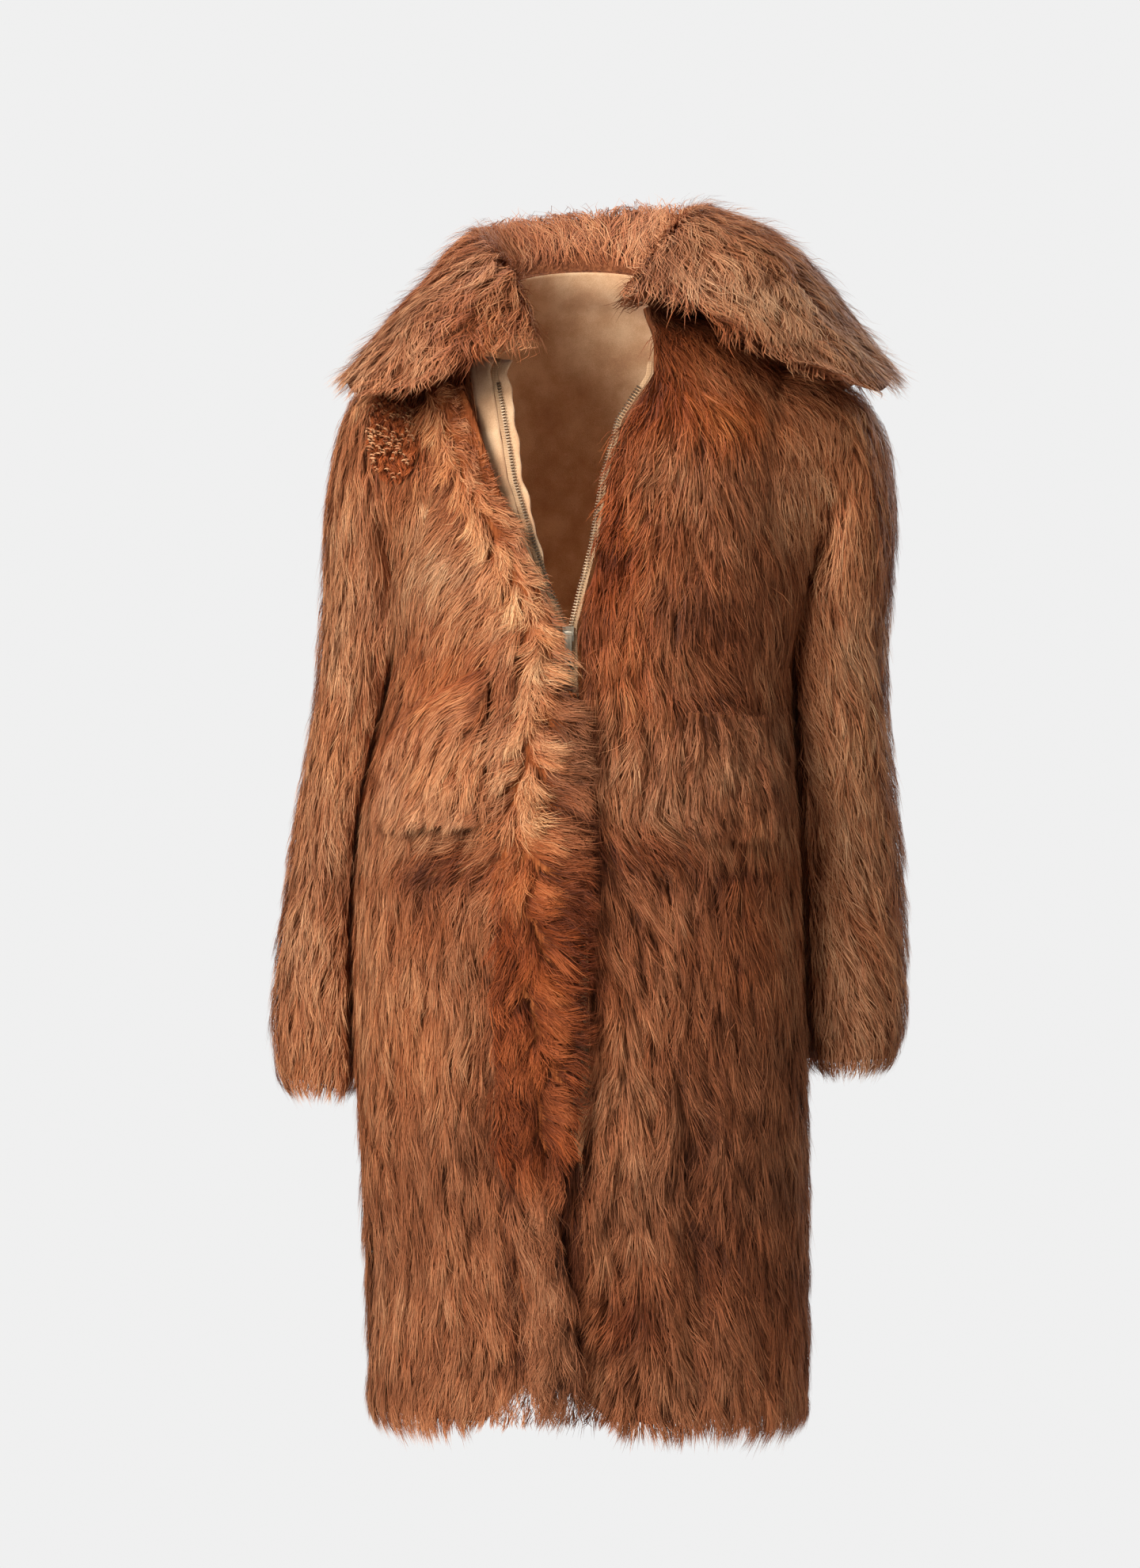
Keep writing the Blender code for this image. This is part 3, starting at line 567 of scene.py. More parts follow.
# hair: the UV map holds shade and side in U, warmth and length in V, and fine hairs are noise across it
def makeHairMaterial():
    made, tree, shader = newMaterial("furHair", {"Roughness": hairLook["rough"],
                                                 "Specular IOR Level": hairLook["shine"]})
    layout = addNode(tree, "UVMap", {})
    layout.uv_map = "OFBake"
    split = addNode(tree, "SeparateXYZ", {0: layout.outputs[0]})
    levels, parts = [], []
    for k, count in ((0, toneLevels), (1, warmLevels)):
        wide = addMath(tree, "MULTIPLY", split.outputs[k], float(count))
        levels.append(addMath(tree, "DIVIDE", addMath(tree, "FLOOR", wide), count - 1.0))
        parts.append(addMath(tree, "FRACT", wide))
    tone, warm = levels
    across, along = parts
    seat = addNode(tree, "CombineXYZ", {0: addMath(tree, "MULTIPLY", across, hairLook["across"]),
                                        1: addMath(tree, "MULTIPLY", along, hairLook["along"]),
                                        2: addMath(tree, "MULTIPLY", tone, 97.0)})
    hairs = addNode(tree, "TexNoise", {"Scale": hairLook["grain"], "Detail": 1.0, "Vector": seat.outputs[0]})
    lift = addMath(tree, "MULTIPLY_ADD", hairs.outputs[0], hairLook["grainLift"], -hairLook["grainLift"] / 2)
    # the tip paler as the fur's own colour, the root darker as painted shade deep in the pile
    root = addMath(tree, "MULTIPLY_ADD", along, hairLook["tipLift"], -hairLook["rootShade"])
    shade = addMath(tree, "ADD", addMath(tree, "ADD", tone, lift), root)
    mix = tree.nodes.new("ShaderNodeMix")
    mix.data_type = "RGBA"
    setInputs(tree, mix, {"Factor": warm, "A": addRamp(tree, shade, furTones["cool"]),
                          "B": addRamp(tree, shade, furTones["warm"])})
    setInputs(tree, shader, {"Base Color": mix.outputs["Result"]})
    return made


# short fur against the skin: noise drawn out downwards in the coat's browns, kept darker than the hair as
# painted shade between the locks
def makeUnderFurMaterial(name):
    made, tree, shader = newMaterial(name, {"Roughness": 0.75, "Specular IOR Level": 0.08})
    cloud, fine = addCloud(tree, 70.0, 420.0, 0.5, 0.16)
    setInputs(tree, shader, {"Base Color": addRamp(tree, cloud, finishRamps[name]),
                             "Normal": addBump(tree, fine, 0.9, 0.003)})
    return made


# suede: cloudy colour with darker rubbed spots and a fine nap
def makeSuedeMaterial(name):
    made, tree, shader = newMaterial(name, {"Roughness": 0.9, "Sheen Weight": 0.25})
    cloud, fine = addCloud(tree, 38.0, 1400.0, 0.35)
    setInputs(tree, shader, {"Base Color": addRamp(tree, cloud, finishRamps[name]),
                             "Normal": addBump(tree, fine, 0.5, 0.0004)})
    return made


# woven tape: crossed waves for the threads over cloudy handling marks
def makeTapeMaterial(name):
    made, tree, shader = newMaterial(name, {"Roughness": 0.8})
    place = addNode(tree, "TexCoord", {})
    waves = []
    for direction, threads in (("X", 1500.0), ("Z", 1300.0)):
        wave = addNode(tree, "TexWave", {"Scale": threads / 6.283, "Vector": place.outputs["Object"]})
        wave.bands_direction = direction
        waves.append(wave.outputs["Fac"])
    weave = addMath(tree, "MULTIPLY", *waves)
    cloud, fine = addCloud(tree, 60.0, 900.0, 0.2)
    both = addMath(tree, "MULTIPLY_ADD", weave, 0.5, addMath(tree, "MULTIPLY", cloud, 0.5))
    setInputs(tree, shader, {"Base Color": addRamp(tree, both, finishRamps[name]),
                             "Normal": addBump(tree, weave, 0.6, 0.0003)})
    return made


# nickel-coloured metal: dull spots in the colour, fine scratches along Z in the roughness
def makeMetalMaterial(name):
    made, tree, shader = newMaterial(name, {"Metallic": 0.75})
    cloud, fine = addCloud(tree, 260.0, 3000.0, 0.2, 0.1)
    setInputs(tree, shader, {"Base Color": addRamp(tree, cloud, finishRamps[name]),
                             "Roughness": addMath(tree, "MULTIPLY_ADD", fine, 0.3, 0.22)})
    return made


hairFinish = makeHairMaterial()
underFinish = makeUnderFurMaterial("furUnder")
paleUnderFinish = makeUnderFurMaterial("furUnderPale")
suedeFinish = makeSuedeMaterial("suedeSkin")
tapeFinish = makeTapeMaterial("zipTape")
metalFinish = makeMetalMaterial("zipMetal")
teethFinish = makeMetalMaterial("zipTeeth")
print("finishes ready")

# pelts: thin closed sheets under the hair
peltSettings = {"skin": -0.0136, "top": -0.0085, "rows": 46, "columns": 22, "hemTuck": 0.06, "cuffTuck": 5.0,
                "sleeveColumns": 33}
# heights at which the hair ends along the hem of the front, by x, and of the back
hemLine = inMetres({
    "x": (-190, -163, -110, -85, -66, -48, -20, 0, 12, 35, 77, 107, 173, 195),
    "z": (-936, -944, -938, -930, -916, -897, -900, -908, -922, -936, -944, -940, -948, -940),
    "back": -931,
})


# a pelt takes its node's place
def addPelt(node, outer, inner, finishes, tube=False):
    piece = addShell("pelt_" + node, outer, inner, "fur", finishes, tube)
    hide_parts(node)


# height of the hem's line at each point, by x in front
def hemAt(points):
    front = np.interp(points[..., 0], hemLine["x"], hemLine["z"])
    return np.where(points[..., 1] < 0, front, hemLine["back"])


armpit = {"out": 0.0140, "z": -0.235, "high": 0.045, "wide": 0.022, "right": -0.154, "left": 0.182}


# how far pelts and hair stand out under the arms, so that no light gets through between body and sleeve:
# a bell round the height of the armpit and each side
def armpitLift(points):
    x, z = points[..., 0], points[..., 2]
    side = np.where(x > 0, armpit["left"], armpit["right"])
    return armpit["out"] * bell(z - armpit["z"], armpit["high"], x - side, armpit["wide"])


# outside and skin side of a pelt, moved from the fur's surface along the given directions
def addHangingPelt(node, points, outward, tube=False):
    outer = points + outward * (peltSettings["top"] + armpitLift(points))[..., None]
    addPelt(node, outer, points + outward * peltSettings["skin"], (underFinish, suedeFinish), tube)


# body pelt: the panel's part of the body surface, between its two edges, drawn up to the hem's line
def addPanelPelt(node):
    start, end = panelEdges[node]
    hemTuck = peltSettings["hemTuck"]
    low = np.linspace(hemTuck, armhole["middle"] - armholeHalf, peltSettings["rows"])[:-1]
    beside = armhole["middle"] + armholeHalf * np.cos(np.linspace(math.pi, 0.0, 17))
    high = np.linspace(armhole["middle"] + armholeHalf, neckRow - 0.12, 14)[1:]
    row = np.concatenate([low, beside, high])[:, None]
    part = np.linspace(0.0, 1.0, peltSettings["columns"])[None, :]
    turn = start(row) + (end(row) - start(row)) * part
    foot = bodyPlain(turn[:1], row[:1])
    tuck = np.clip((hemAt(foot) + 0.011 - foot[..., 2]) / 0.13, 0.0, 0.4)
    row = row + tuck * toShare(1 - (row - hemTuck) / 0.9)
    addHangingPelt(node, *readSurface(bodySurface, rowToIndex(row), turnToIndex(turn)))


for node in panelEdges:
    addPanelPelt(node)


# sleeve pelt: the rings drawn in towards their middles, as they can't fold over at a dent that way
def addSleevePelt(node):
    surface = sleeveSurfaces[node]
    rows, columns = surface["points"].shape[:2]
    i, j = gridOf(np.linspace(0.0, rows - 1.0 - peltSettings["cuffTuck"], peltSettings["rows"]),
                  np.linspace(0.0, columns, peltSettings["sleeveColumns"])[:-1])
    points, = readSurface(surface, i, j, ("points",))
    spoke = points - points.mean(axis=1, keepdims=True)
    addHangingPelt(node, points, spoke / lengthOf(spoke).mean(axis=1)[:, None, None], tube=True)


for node in sleeveSurfaces:
    addSleevePelt(node)


# collar pelt: the middle of the collar's wall, from the neck seam to short of the leaf's edge
def addCollarPelt():
    rows, columns = collarTop["points"].shape[:2]
    i, j = gridOf(np.linspace(0.0, rows * 0.985, 34), np.linspace(3.0, columns - 4.0, 64))
    points, normal, thick = readSurface(collarTop, i, j, ("points", "normal", "thick"))
    addPelt("collar", points - normal * thick * 0.42, points - normal * thick * 0.62, (underFinish,))


addCollarPelt()


# strip on the body surface, by height: between the x of its two edges, at a distance from the surface
def stripGrid(heights, first, second, columns, out):
    row = rowOf(heights)[:, None]
    part = np.linspace(0.0, 1.0, columns)[None, :]
    turn = frontTurn(first[:, None] * (1 - part) + second[:, None] * part, row)
    points, normal = bodyPoint(turn, np.broadcast_to(row, turn.shape), folded=False)
    return points + normal * np.asarray(out)[..., None]


placketPelt = {"foot": -0.888, "top": -0.084, "rows": 90, "columns": 9, "outerInset": 0.004,
               "innerInset": 0.003, "thick": 0.0028}


# placket pelt: between the strip's edges, close to the front at the top and over its pile lower down
def addPlacketPelt():
    heights = np.linspace(placketPelt["foot"], placketPelt["top"], placketPelt["rows"])
    lift = np.interp(heights, [-0.160, -0.110], [0.0006, 0.0031])[:, None] + 0.0002
    edges = (stripOuter(heights) + placketPelt["outerInset"], stripInner(heights) - placketPelt["innerInset"])
    addPelt("placket", stripGrid(heights, *edges, placketPelt["columns"], lift + placketPelt["thick"]),
            stripGrid(heights, *edges, placketPelt["columns"], lift), (paleUnderFinish,))


addPlacketPelt()


# pocket patch: the four corners blended across and down, then put on the front's surface by x and z
def pocketGrid(node, rows, columns, inset=0.0):
    down = np.linspace(inset, 1.0 - inset, rows)[:, None]
    side = np.linspace(inset, 1.0 - inset, columns)[None, :]
    x, z = ((topIn + (topOut - topIn) * side) * (1 - down) + (lowIn + (lowOut - lowIn) * side) * down
            for topIn, topOut, lowIn, lowOut in (pocketCorners[node][0::2], pocketCorners[node][1::2]))
    row = frontRow(x, z)
    return frontTurn(x, row), row, np.broadcast_to(down, x.shape), np.broadcast_to(side, x.shape)


# fractional row of the front point with this x and z, corrected a few times for the tilted sections
def frontRow(x, z):
    wanted = z.copy()
    for attempt in range(12):
        row = rowOf(wanted)
        wanted = wanted + (z - bodyPlain(frontTurn(x, row), row)[..., 2])
    return row


# share of the patch's pile: nothing at its top edge, where the hair above runs over it, little at its outer
# edge and all of it lower down
def pocketSwell(down, side):
    return toShare(down / 0.45) ** 0.7 * toShare(0.30 + (1 - side) / 0.35)


# pocket pelt: a shallow pad whose height follows the pile's share
def addPocketPelt(node):
    turn, row, down, side = pocketGrid(node, 22, 18, 0.04)
    points, normal = bodyPoint(turn, row, folded=False)
    swell = pile["pocket"] * pocketSwell(down, side)[..., None]
    addPelt(node, points + normal * (0.0008 + swell * 0.45), points + normal * 0.0008, (underFinish,))


for node in pocketCorners:
    addPocketPelt(node)
print("pelts ready")

# hair: count and segments of the strands, length, width, height of their roots and tops over the surface,
# reach of their waves, height and width of a lock, share and lift of flyaway hairs, swell round the strip,
# share of the armpits' lift, height below which it turns in, how far it ends past its grid's last row,
# lighter and warmer than the coat's own colour
anyHair = {"segments": 2, "width": 0.0009, "root": -0.0080, "top": -0.0010, "wave": 0.0020, "flyaway": 0.07,
           "flyLift": 0.0055, "round": 0.0, "armpit": 0.0, "turnIn": -2.0, "lighter": 0.0, "warmer": 0.0}
bodyHair = dict(anyHair, length=0.038, width=0.00075, wave=0.0018, lock=(0.025, 0.0066), armpit=0.9,
                turnIn=-0.912, lighter=-0.02)
sleeveHair = dict(bodyHair, length=0.036, past=0.009, lighter=0.03)
pocketHair = dict(anyHair, length=0.030, root=0.0030, lock=(0.025, 0.0075), past=0.007)
hairSettings = {
    "back": dict(bodyHair, count=36000, length=0.042, width=0.0012, lock=(0.028, 0.0090), turnIn=-0.908,
                 seed=11),
    "front_left": dict(bodyHair, count=57000, seed=12),
    "front_right": dict(bodyHair, count=46000, seed=13),
    "sleeve_right": dict(sleeveHair, count=32000, turnIn=-0.634, seed=14),
    "sleeve_left": dict(sleeveHair, count=33000, turnIn=-0.612, seed=15),
    "collar": dict(anyHair, count=26000, segments=3, length=0.034, width=0.0010, top=0.0, wave=0.0055,
                   lock=(0.024, 0.015), flyaway=0.20, flyLift=0.012, past=0.012, lighter=0.01, warmer=-0.10,
                   seed=16),
    "collarBelow": dict(anyHair, count=4200, length=0.026, width=0.0014, root=-0.0070, lock=(0.020, 0.012),
                        past=0.012, lighter=-0.05, warmer=-0.10, seed=17),
    "placket": dict(anyHair, count=17000, segments=3, length=0.031, root=0.0030, top=0.0110, wave=0.0032,
                    lock=(0.017, 0.014), flyaway=0.16, flyLift=0.008, round=1.1, seed=18),
    "pocket_right": dict(pocketHair, count=5200, top=0.0100, seed=19),
    "pocket_left": dict(pocketHair, count=3400, top=0.0095, lighter=-0.07, seed=20),
    "curls": dict(anyHair, count=4200, length=0.008, width=0.0008, root=-0.0075, wave=0.0022,
                  lock=(0.0065, 0.0065), seed=21),
}
# how far hair is drawn together in a lock and in the tufts inside it, the tuft's share of a lock, how round
# they are shaded, the longest step kept, how far locks and tufts rise and their outer hairs sink, how uneven
# the hairs lie, how far and over what height they turn in at a hem, and the power of their taper
lockShape = {"gather": 0.38, "tuftGather": 0.62, "tuft": 0.36, "lockRound": 0.80, "tuftRound": 0.44,
             "hairRound": 0.34, "longest": 2.0, "rise": 0.0060, "tuftRise": 0.0032, "sink": 0.0060,
             "tuftSink": 0.0020, "uneven": 0.0006, "inward": 0.0085, "inwardOver": 0.030, "taper": 0.75}
bellUnits = (1000, 1000, 1000, 1000, 100, 100)
# how the hair of the front turns away from straight down: x, z, half width, half height, across, down
frontFlows = np.array((
    (125, -85, 45, 30, 90, 20), (60, -105, 40, 45, -50, 10), (30, -190, 30, 60, -30, 0),
    (-118, -175, 30, 45, -90, 40), (-95, -235, 35, 40, -70, 20), (-100, -330, 45, 40, -80, 30),
    (-130, -390, 40, 40, -50, 0), (-100, -455, 60, 22, -110, 40), (-70, -500, 30, 30, -60, 10),
    (110, -300, 50, 20, 50, 30), (130, -340, 40, 30, 40, 20), (50, -445, 50, 22, 60, 30),
    (150, -520, 30, 30, 60, 20), (20, -560, 30, 70, 35, 0), (30, -860, 35, 60, -55, 10),
    (110, -850, 45, 60, 25, 0), (95, -640, 25, 30, 60, 30), (-120, -860, 50, 50, -30, 0),
)) / bellUnits
# patches on the front: x, z, half width, half height, lighter, warmer; most are the coat's own colour, the
# dark ones along the folds and the pockets' edges, in the hollows and over the left front turned from the key
# light are painted shade
frontColourAndShade = np.array((
    (112, -88, 40, 26, 0, 75), (60, -70, 40, 30, -5, 35), (35, -200, 30, 70, -6, 55),
    (100, -190, 40, 40, 10, 0), (-135, -165, 22, 35, 22, -10), (-110, -215, 30, 30, 20, -10),
    (-150, -110, 20, 38, -24, 65), (-100, -300, 50, 30, -4, 40), (-90, -380, 35, 25, 10, 25),
    (-110, -460, 60, 13, -30, 30), (-128, -322, 20, 8, -20, 20), (-155, -342, 13, 12, -20, 20),
    (-172, -385, 7, 35, -20, 10), (-100, -415, 40, 12, 9, 0), (-130, -500, 40, 20, -10, 20),
    (-125, -470, 10, 12, -16, 10), (-98, -452, 12, 6, -20, 10), (-112, -485, 8, 10, -14, 10),
    (40, -300, 30, 40, -4, 40), (110, -318, 50, 10, -26, 15), (125, -458, 50, 10, -22, 10),
    (105, -395, 60, 45, -2, -10), (40, -440, 40, 20, -20, 30), (40, -818, 22, 26, -34, 40),
    (96, -760, 12, 120, -17, 10), (-88, -700, 10, 190, -6, 0), (-130, -560, 50, 100, 5, 5),
    (110, -600, 60, 100, -2, 10), (-20, -880, 40, 40, 4, -10), (-120, -700, 70, 200, -6, 6),
    (120, -740, 80, 200, -25, 0), (110, -230, 55, 85, -23, 16), (110, -490, 80, 90, -8, 0),
    (-230, -350, 50, 300, 18, -8), (230, -350, 50, 300, 12, -4), (150, 10, 60, 30, 16, -20),
    (230, -30, 30, 30, 10, -10), (63, -600, 20, 16, -18, 20), (130, -470, 30, 60, -10, 10),
    (60, -640, 25, 100, 6, 0), (100, -20, 35, 25, -10, 30), (-170, -30, 30, 40, 8, -10),
    (-80, -20, 30, 35, -12, 35),
)) / bellUnits


# sums of a table's bells at each point of the front; its last two columns are the values
def readBells(points, table):
    facing = facingShare(points)
    first, second = np.zeros(points.shape[:-1]), np.zeros(points.shape[:-1])
    for x, z, wide, high, one, two in table:
        here = facing * bell(points[..., 0] - x, wide, points[..., 2] - z, high)
        first += here * one
        second += here * two
    return first, second


# swing of the hair from place to place: a broad and a fine noise, each with its reach, size and shift
def swingAt(points, *noises):
    return sum(reach * softNoise(points, size, shift) for reach, size, shift in noises)


# turned direction: the heading rotated in the surface by an angle
def rotateFlat(heading, normal, angle):
    side = np.cross(normal, heading)
    return heading * np.cos(angle)[..., None] + side * np.sin(angle)[..., None]


# body: straight down, turned by the front's flows and the swing
def bodyHeading(points, normal, surface, i, j):
    across, down = readBells(points, frontFlows)
    swing = swingAt(points, (0.30, 0.075, 3.1), (0.18, 0.028, 9.7))
    return np.stack([across + swing, np.zeros_like(across), -1.0 + down], axis=-1)


# sleeves: down and a little outwards, with the swing
def sleeveHeading(points, normal, surface, i, j):
    swing = swingAt(points, (0.28, 0.070, 4.4), (0.16, 0.026, 2.9))
    lean = np.sign(points[..., 0]) * 0.10
    return np.stack([lean + swing, swing * 0.6, -np.ones_like(swing)], axis=-1)


# collar: from the neck seam over the fold to the edge, out over its two front ends, drawn down and swung
def collarHeading(points, normal, surface, i, j):
    down, along = readSurface(surface, i, j, ("stepRow", "stepColumn"))
    endWidth = 26.0
    atEnd = bell(j, endWidth) - bell(surface["points"].shape[1] - 1.0 - j, endWidth)
    heading = unit(down) - unit(along) * (0.9 * atEnd)[..., None]
    heading = rotateFlat(heading, normal, swingAt(points, (0.55, 0.050, 6.2), (0.35, 0.020, 1.3)))
    heading[..., 2] -= 0.30 + 0.35 * np.abs(atEnd)
    return heading


# strip over the zip: down along a ragged parting and off to both sides away from it, and down again on
# the loose tongue at its foot
def placketHeading(points, normal, surface, i, j):
    z = points[..., 2]
    ridge = atHeight(ridgeRows, "x", z) + swingAt(points, (0.006, 0.050, 12.3), (0.010, 0.0045, 1.9))
    loose = toShare((-0.665 - z) / 0.06)
    high = toShare((z + 0.500) / 0.06)
    side = np.clip((points[..., 0] - ridge) / 0.011, -1.0, 1.0)
    swing = swingAt(points, (0.30, 0.040, 8.8), (0.25, 0.015, 3.3)) * (1 - 0.55 * loose)
    across = np.where(side > 0, side * 1.05, side * 0.50 * high) * (1 - loose)
    across = across + loose * (0.14 - 0.22 * side)
    down = (-0.95 + np.where(side > 0, 0.45, 0.15) * np.abs(side)) * (1 - loose) - loose
    down = down + swingAt(points, (0.25, 0.03, 5.7))
    return np.stack([across + swing, np.zeros_like(across), down], axis=-1)


# one step of a given length along the surface: the heading solved for changes of row and column
def stepAlong(surface, i, j, heading, length):
    names = ("points", "normal", "stepRow", "stepColumn")
    points, normal, stepRow, stepColumn = readSurface(surface, i, j, names)
    wanted = heading(points, normal, surface, i, j)
    pairs = ((stepRow, stepRow), (stepRow, stepColumn), (stepColumn, stepColumn), (wanted, stepRow),
             (wanted, stepColumn))
    rowRow, rowColumn, columnColumn, byRow, byColumn = ((a * b).sum(axis=-1) for a, b in pairs)
    scale = np.maximum(rowRow * columnColumn - rowColumn ** 2, 1e-18)
    di = (byRow * columnColumn - byColumn * rowColumn) / scale
    dj = (byColumn * rowRow - byRow * rowColumn) / scale
    share = length / np.maximum(lengthOf(di[..., None] * stepRow + dj[..., None] * stepColumn), 1e-9)
    return di * share, dj * share


# each strand's lock: the nearest of the shifted cell middles round it
def lockMiddles(i, j, tall, wide):
    a, b = i / tall, j / wide
    best = np.full(i.shape, 9.0)
    middleI, middleJ, code = np.zeros(i.shape), np.zeros(i.shape), np.zeros(i.shape)
    for neighbour in range(9):
        cellA, cellB = np.floor(a) + neighbour // 3 - 1, np.floor(b) + neighbour % 3 - 1
        x, y = cellA + scramble(cellA, cellB, 1), cellB + scramble(cellA, cellB, 2)
        far = (x - a) ** 2 + (y - b) ** 2
        nearer = far < best
        best = np.where(nearer, far, best)
        middleI, middleJ = np.where(nearer, x * tall, middleI), np.where(nearer, y * wide, middleJ)
        code = np.where(nearer, scramble(cellA, cellB, 3), code)
    return middleI, middleJ, code, best


# strands: a lock's walk over the surface; tufts are drawn in towards it and hairs towards their tuft
def growHair(name, surface, i, j, settings, heading, tone, warm, lengthShare, reach, rng):
    count, segments, tuft = len(i), settings["segments"], lockShape["tuft"]
    stepRow, stepColumn = readSurface(surface, i, j, ("stepRow", "stepColumn"))
    columnSize = float(np.median(lengthOf(stepColumn)))
    tall = settings["lock"][0] / float(np.median(lengthOf(stepRow)))
    wide = settings["lock"][1] / columnSize
    lockI, lockJ, code, far = lockMiddles(i, j, tall, wide)
    tuftI, tuftJ, tuftCode, tuftFar = lockMiddles(i, j, tall * tuft, wide * tuft)
    length = settings["length"] * lengthShare * (0.86 + 0.22 * code + 0.16 * tuftCode)
    length = length * rng.uniform(0.66, 1.06, count)
    walkI, walkJ = lockI.copy(), lockJ.copy()
    lean = (scramble(code, code * 5.0, 5) - 0.5) * 0.5 + (tuftCode - 0.5) * 0.35
    phase = scramble(code, code * 7.0, 6) * 2 * math.pi + tuftCode * 1.6
    lift = (scramble(code, code * 11.0, 7) - 0.60) * lockShape["rise"]
    lift = lift + (tuftCode - 0.5) * lockShape["tuftRise"]
    fly = rng.random(count) < settings["flyaway"]
    lift = lift + np.where(fly, settings["flyLift"] * rng.random(count), 0.0)
    roll = rng.uniform(-0.5, 0.5, count)
    stray = rng.normal(0.0, 0.10, count) * np.where(fly, 2.6, 1.0)
    # the shading swells over each lock, each tuft and, on the placket, over the whole strip
    across = (j - lockJ) * lockShape["lockRound"] + (j - tuftJ) * lockShape["tuftRound"] / tuft
    swell = stepColumn * (across * 2 / wide / columnSize)[:, None]
    if settings["round"]:
        roots, = readSurface(surface, i, j, ("points",))
        inner, outer = stripInner(roots[:, 2]), stripOuter(roots[:, 2])
        place = np.clip((2 * roots[:, 0] - inner - outer) / (inner - outer), -1.0, 1.0)
        swell = swell + unit(stepColumn) * (settings["round"] * place ** 3)[:, None]
    path = np.zeros((count, segments + 1, 3))
    sides, facings = np.zeros_like(path), np.zeros_like(path)

    def leaning(points, normal, used, atI, atJ):
        return rotateFlat(unit(heading(points, normal, used, atI, atJ)), normal, lean + stray)

    for k in range(segments + 1):
        s = k / segments
        if k:
            di, dj = stepAlong(surface, walkI, walkJ, leaning, length / segments)
            walkI, walkJ = walkI + di, walkJ + dj
        inLock, inTuft = 1 - lockShape["gather"] * s, 1 - lockShape["tuftGather"] * s
        atI = walkI + (tuftI - lockI) * (1 - 0.15 * s) + (i - tuftI) * (1 - 0.3 * s)
        atJ = walkJ + (tuftJ - lockJ) * inLock + (j - tuftJ) * inTuft
        points, normal = readSurface(surface, atI, atJ)
        forward = unit(leaning(points, normal, surface, atI, atJ))
        side = unit(np.cross(forward, normal))
        height = settings["root"] + (settings["top"] - settings["root"]) * reach * (1 - (1 - s) ** 2.6)
        height = height + s * (lift - lockShape["sink"] * far - lockShape["tuftSink"] * tuftFar)
        height = height + rng.normal(0.0, lockShape["uneven"], count) * s
        height = height + settings["armpit"] * armpitLift(points)
        below = np.clip((settings["turnIn"] - points[:, 2]) / lockShape["inwardOver"], 0.0, 1.3)
        height = height - lockShape["inward"] * below ** 2
        wave = settings["wave"] * np.sin(phase + s * 5.2) * (0.25 + 0.75 * s)
        path[:, k] = points + normal * height[:, None] + side * wave[:, None]
        sides[:, k] = side * np.cos(roll)[:, None] + normal * np.sin(roll)[:, None]
        facings[:, k] = normal + swell
    # each lock and tuft has its own tone; darker away from the lock's middle is painted shade in the furrows
    # between locks
    tone = tone + (code - 0.5) * 0.12 + (tuftCode - 0.5) * 0.09 + rng.normal(0.0, 0.06, count)
    tone = tone - 0.40 * far + 0.07
    warm = warm + (scramble(code, code * 13.0, 8) - 0.5) * 0.14 + rng.normal(0.0, 0.05, count)
    width = settings["width"] * rng.uniform(0.65, 1.2, count) * np.where(fly, 0.6, 1.0)
    kept = lengthOf(np.diff(path, axis=1)).max(axis=1) < lockShape["longest"] * length / segments
    addStrands(name, path[kept], sides[kept], facings[kept], width[kept], tone[kept], warm[kept])


# ribbons: two points across at each place but the tip, width following a rounded taper, shaded as if round
def addStrands(name, path, sides, facings, width, tone, warm):
    count, places = path.shape[:2]
    s = np.linspace(0.0, 1.0, places)[:-1]
    half = (width[:, None] * ((0.55 + 1.5 * s) * (1 - s) ** lockShape["taper"])[None, :] / 2)[..., None]

    def bothSides(middle, out, tip):
        pairs = np.stack([middle - out, middle + out], axis=2)
        return np.concatenate([pairs.reshape(count, -1, 3), tip], axis=1)

    points = bothSides(path[:, :-1], sides[:, :-1] * half, path[:, -1:])
    shades = unit(bothSides(facings[:, :-1], sides[:, :-1] * lockShape["hairRound"], facings[:, -1:]))
    perStrand = 2 * (places - 1) + 1
    corners = []
    for a in range(0, 2 * (places - 2), 2):
        corners += [(a, a + 1, a + 3), (a, a + 3, a + 2)]
    corners.append((perStrand - 3, perStrand - 2, perStrand - 1))
    faces = (np.arange(count)[:, None, None] * perStrand + np.array(corners)[None]).reshape(-1)
    mesh = bpy.data.meshes.new(name)
    mesh.vertices.add(count * perStrand)
    mesh.vertices.foreach_set("co", points.reshape(-1).astype(np.float32))
    mesh.loops.add(len(faces))
    mesh.loops.foreach_set("vertex_index", faces.astype(np.int32))
    mesh.polygons.add(len(faces) // 3)
    mesh.polygons.foreach_set("loop_start", np.arange(0, len(faces), 3, dtype=np.int32))
    across = np.append(np.tile([0.0, 1.0], places - 1), 0.5)
    along = np.append(np.repeat(s, 2), 1.0)
    toneLevel, warmLevel = (np.floor(np.clip(value, 0.0, 0.999) * levels)
                            for value, levels in ((tone, toneLevels), (warm, warmLevels)))
    u = (toneLevel[:, None] + 0.12 + 0.76 * across[None, :]) / toneLevels
    v = (warmLevel[:, None] + 0.02 + 0.96 * along[None, :]) / warmLevels
    layout = mesh.uv_layers.new(name="OFBake")
    uv = np.stack([u.reshape(-1)[faces], v.reshape(-1)[faces]], axis=-1)
    layout.uv.foreach_set("vector", uv.reshape(-1).astype(np.float32))
    mesh.update()
    mesh.validate()
    mesh.shade_smooth()
    mesh.normals_split_custom_set_from_vertices(shades.reshape(-1, 3).astype(np.float32))
    linkPiece(name, mesh, "fur", hairFinish)
    print(name, count, "strands")


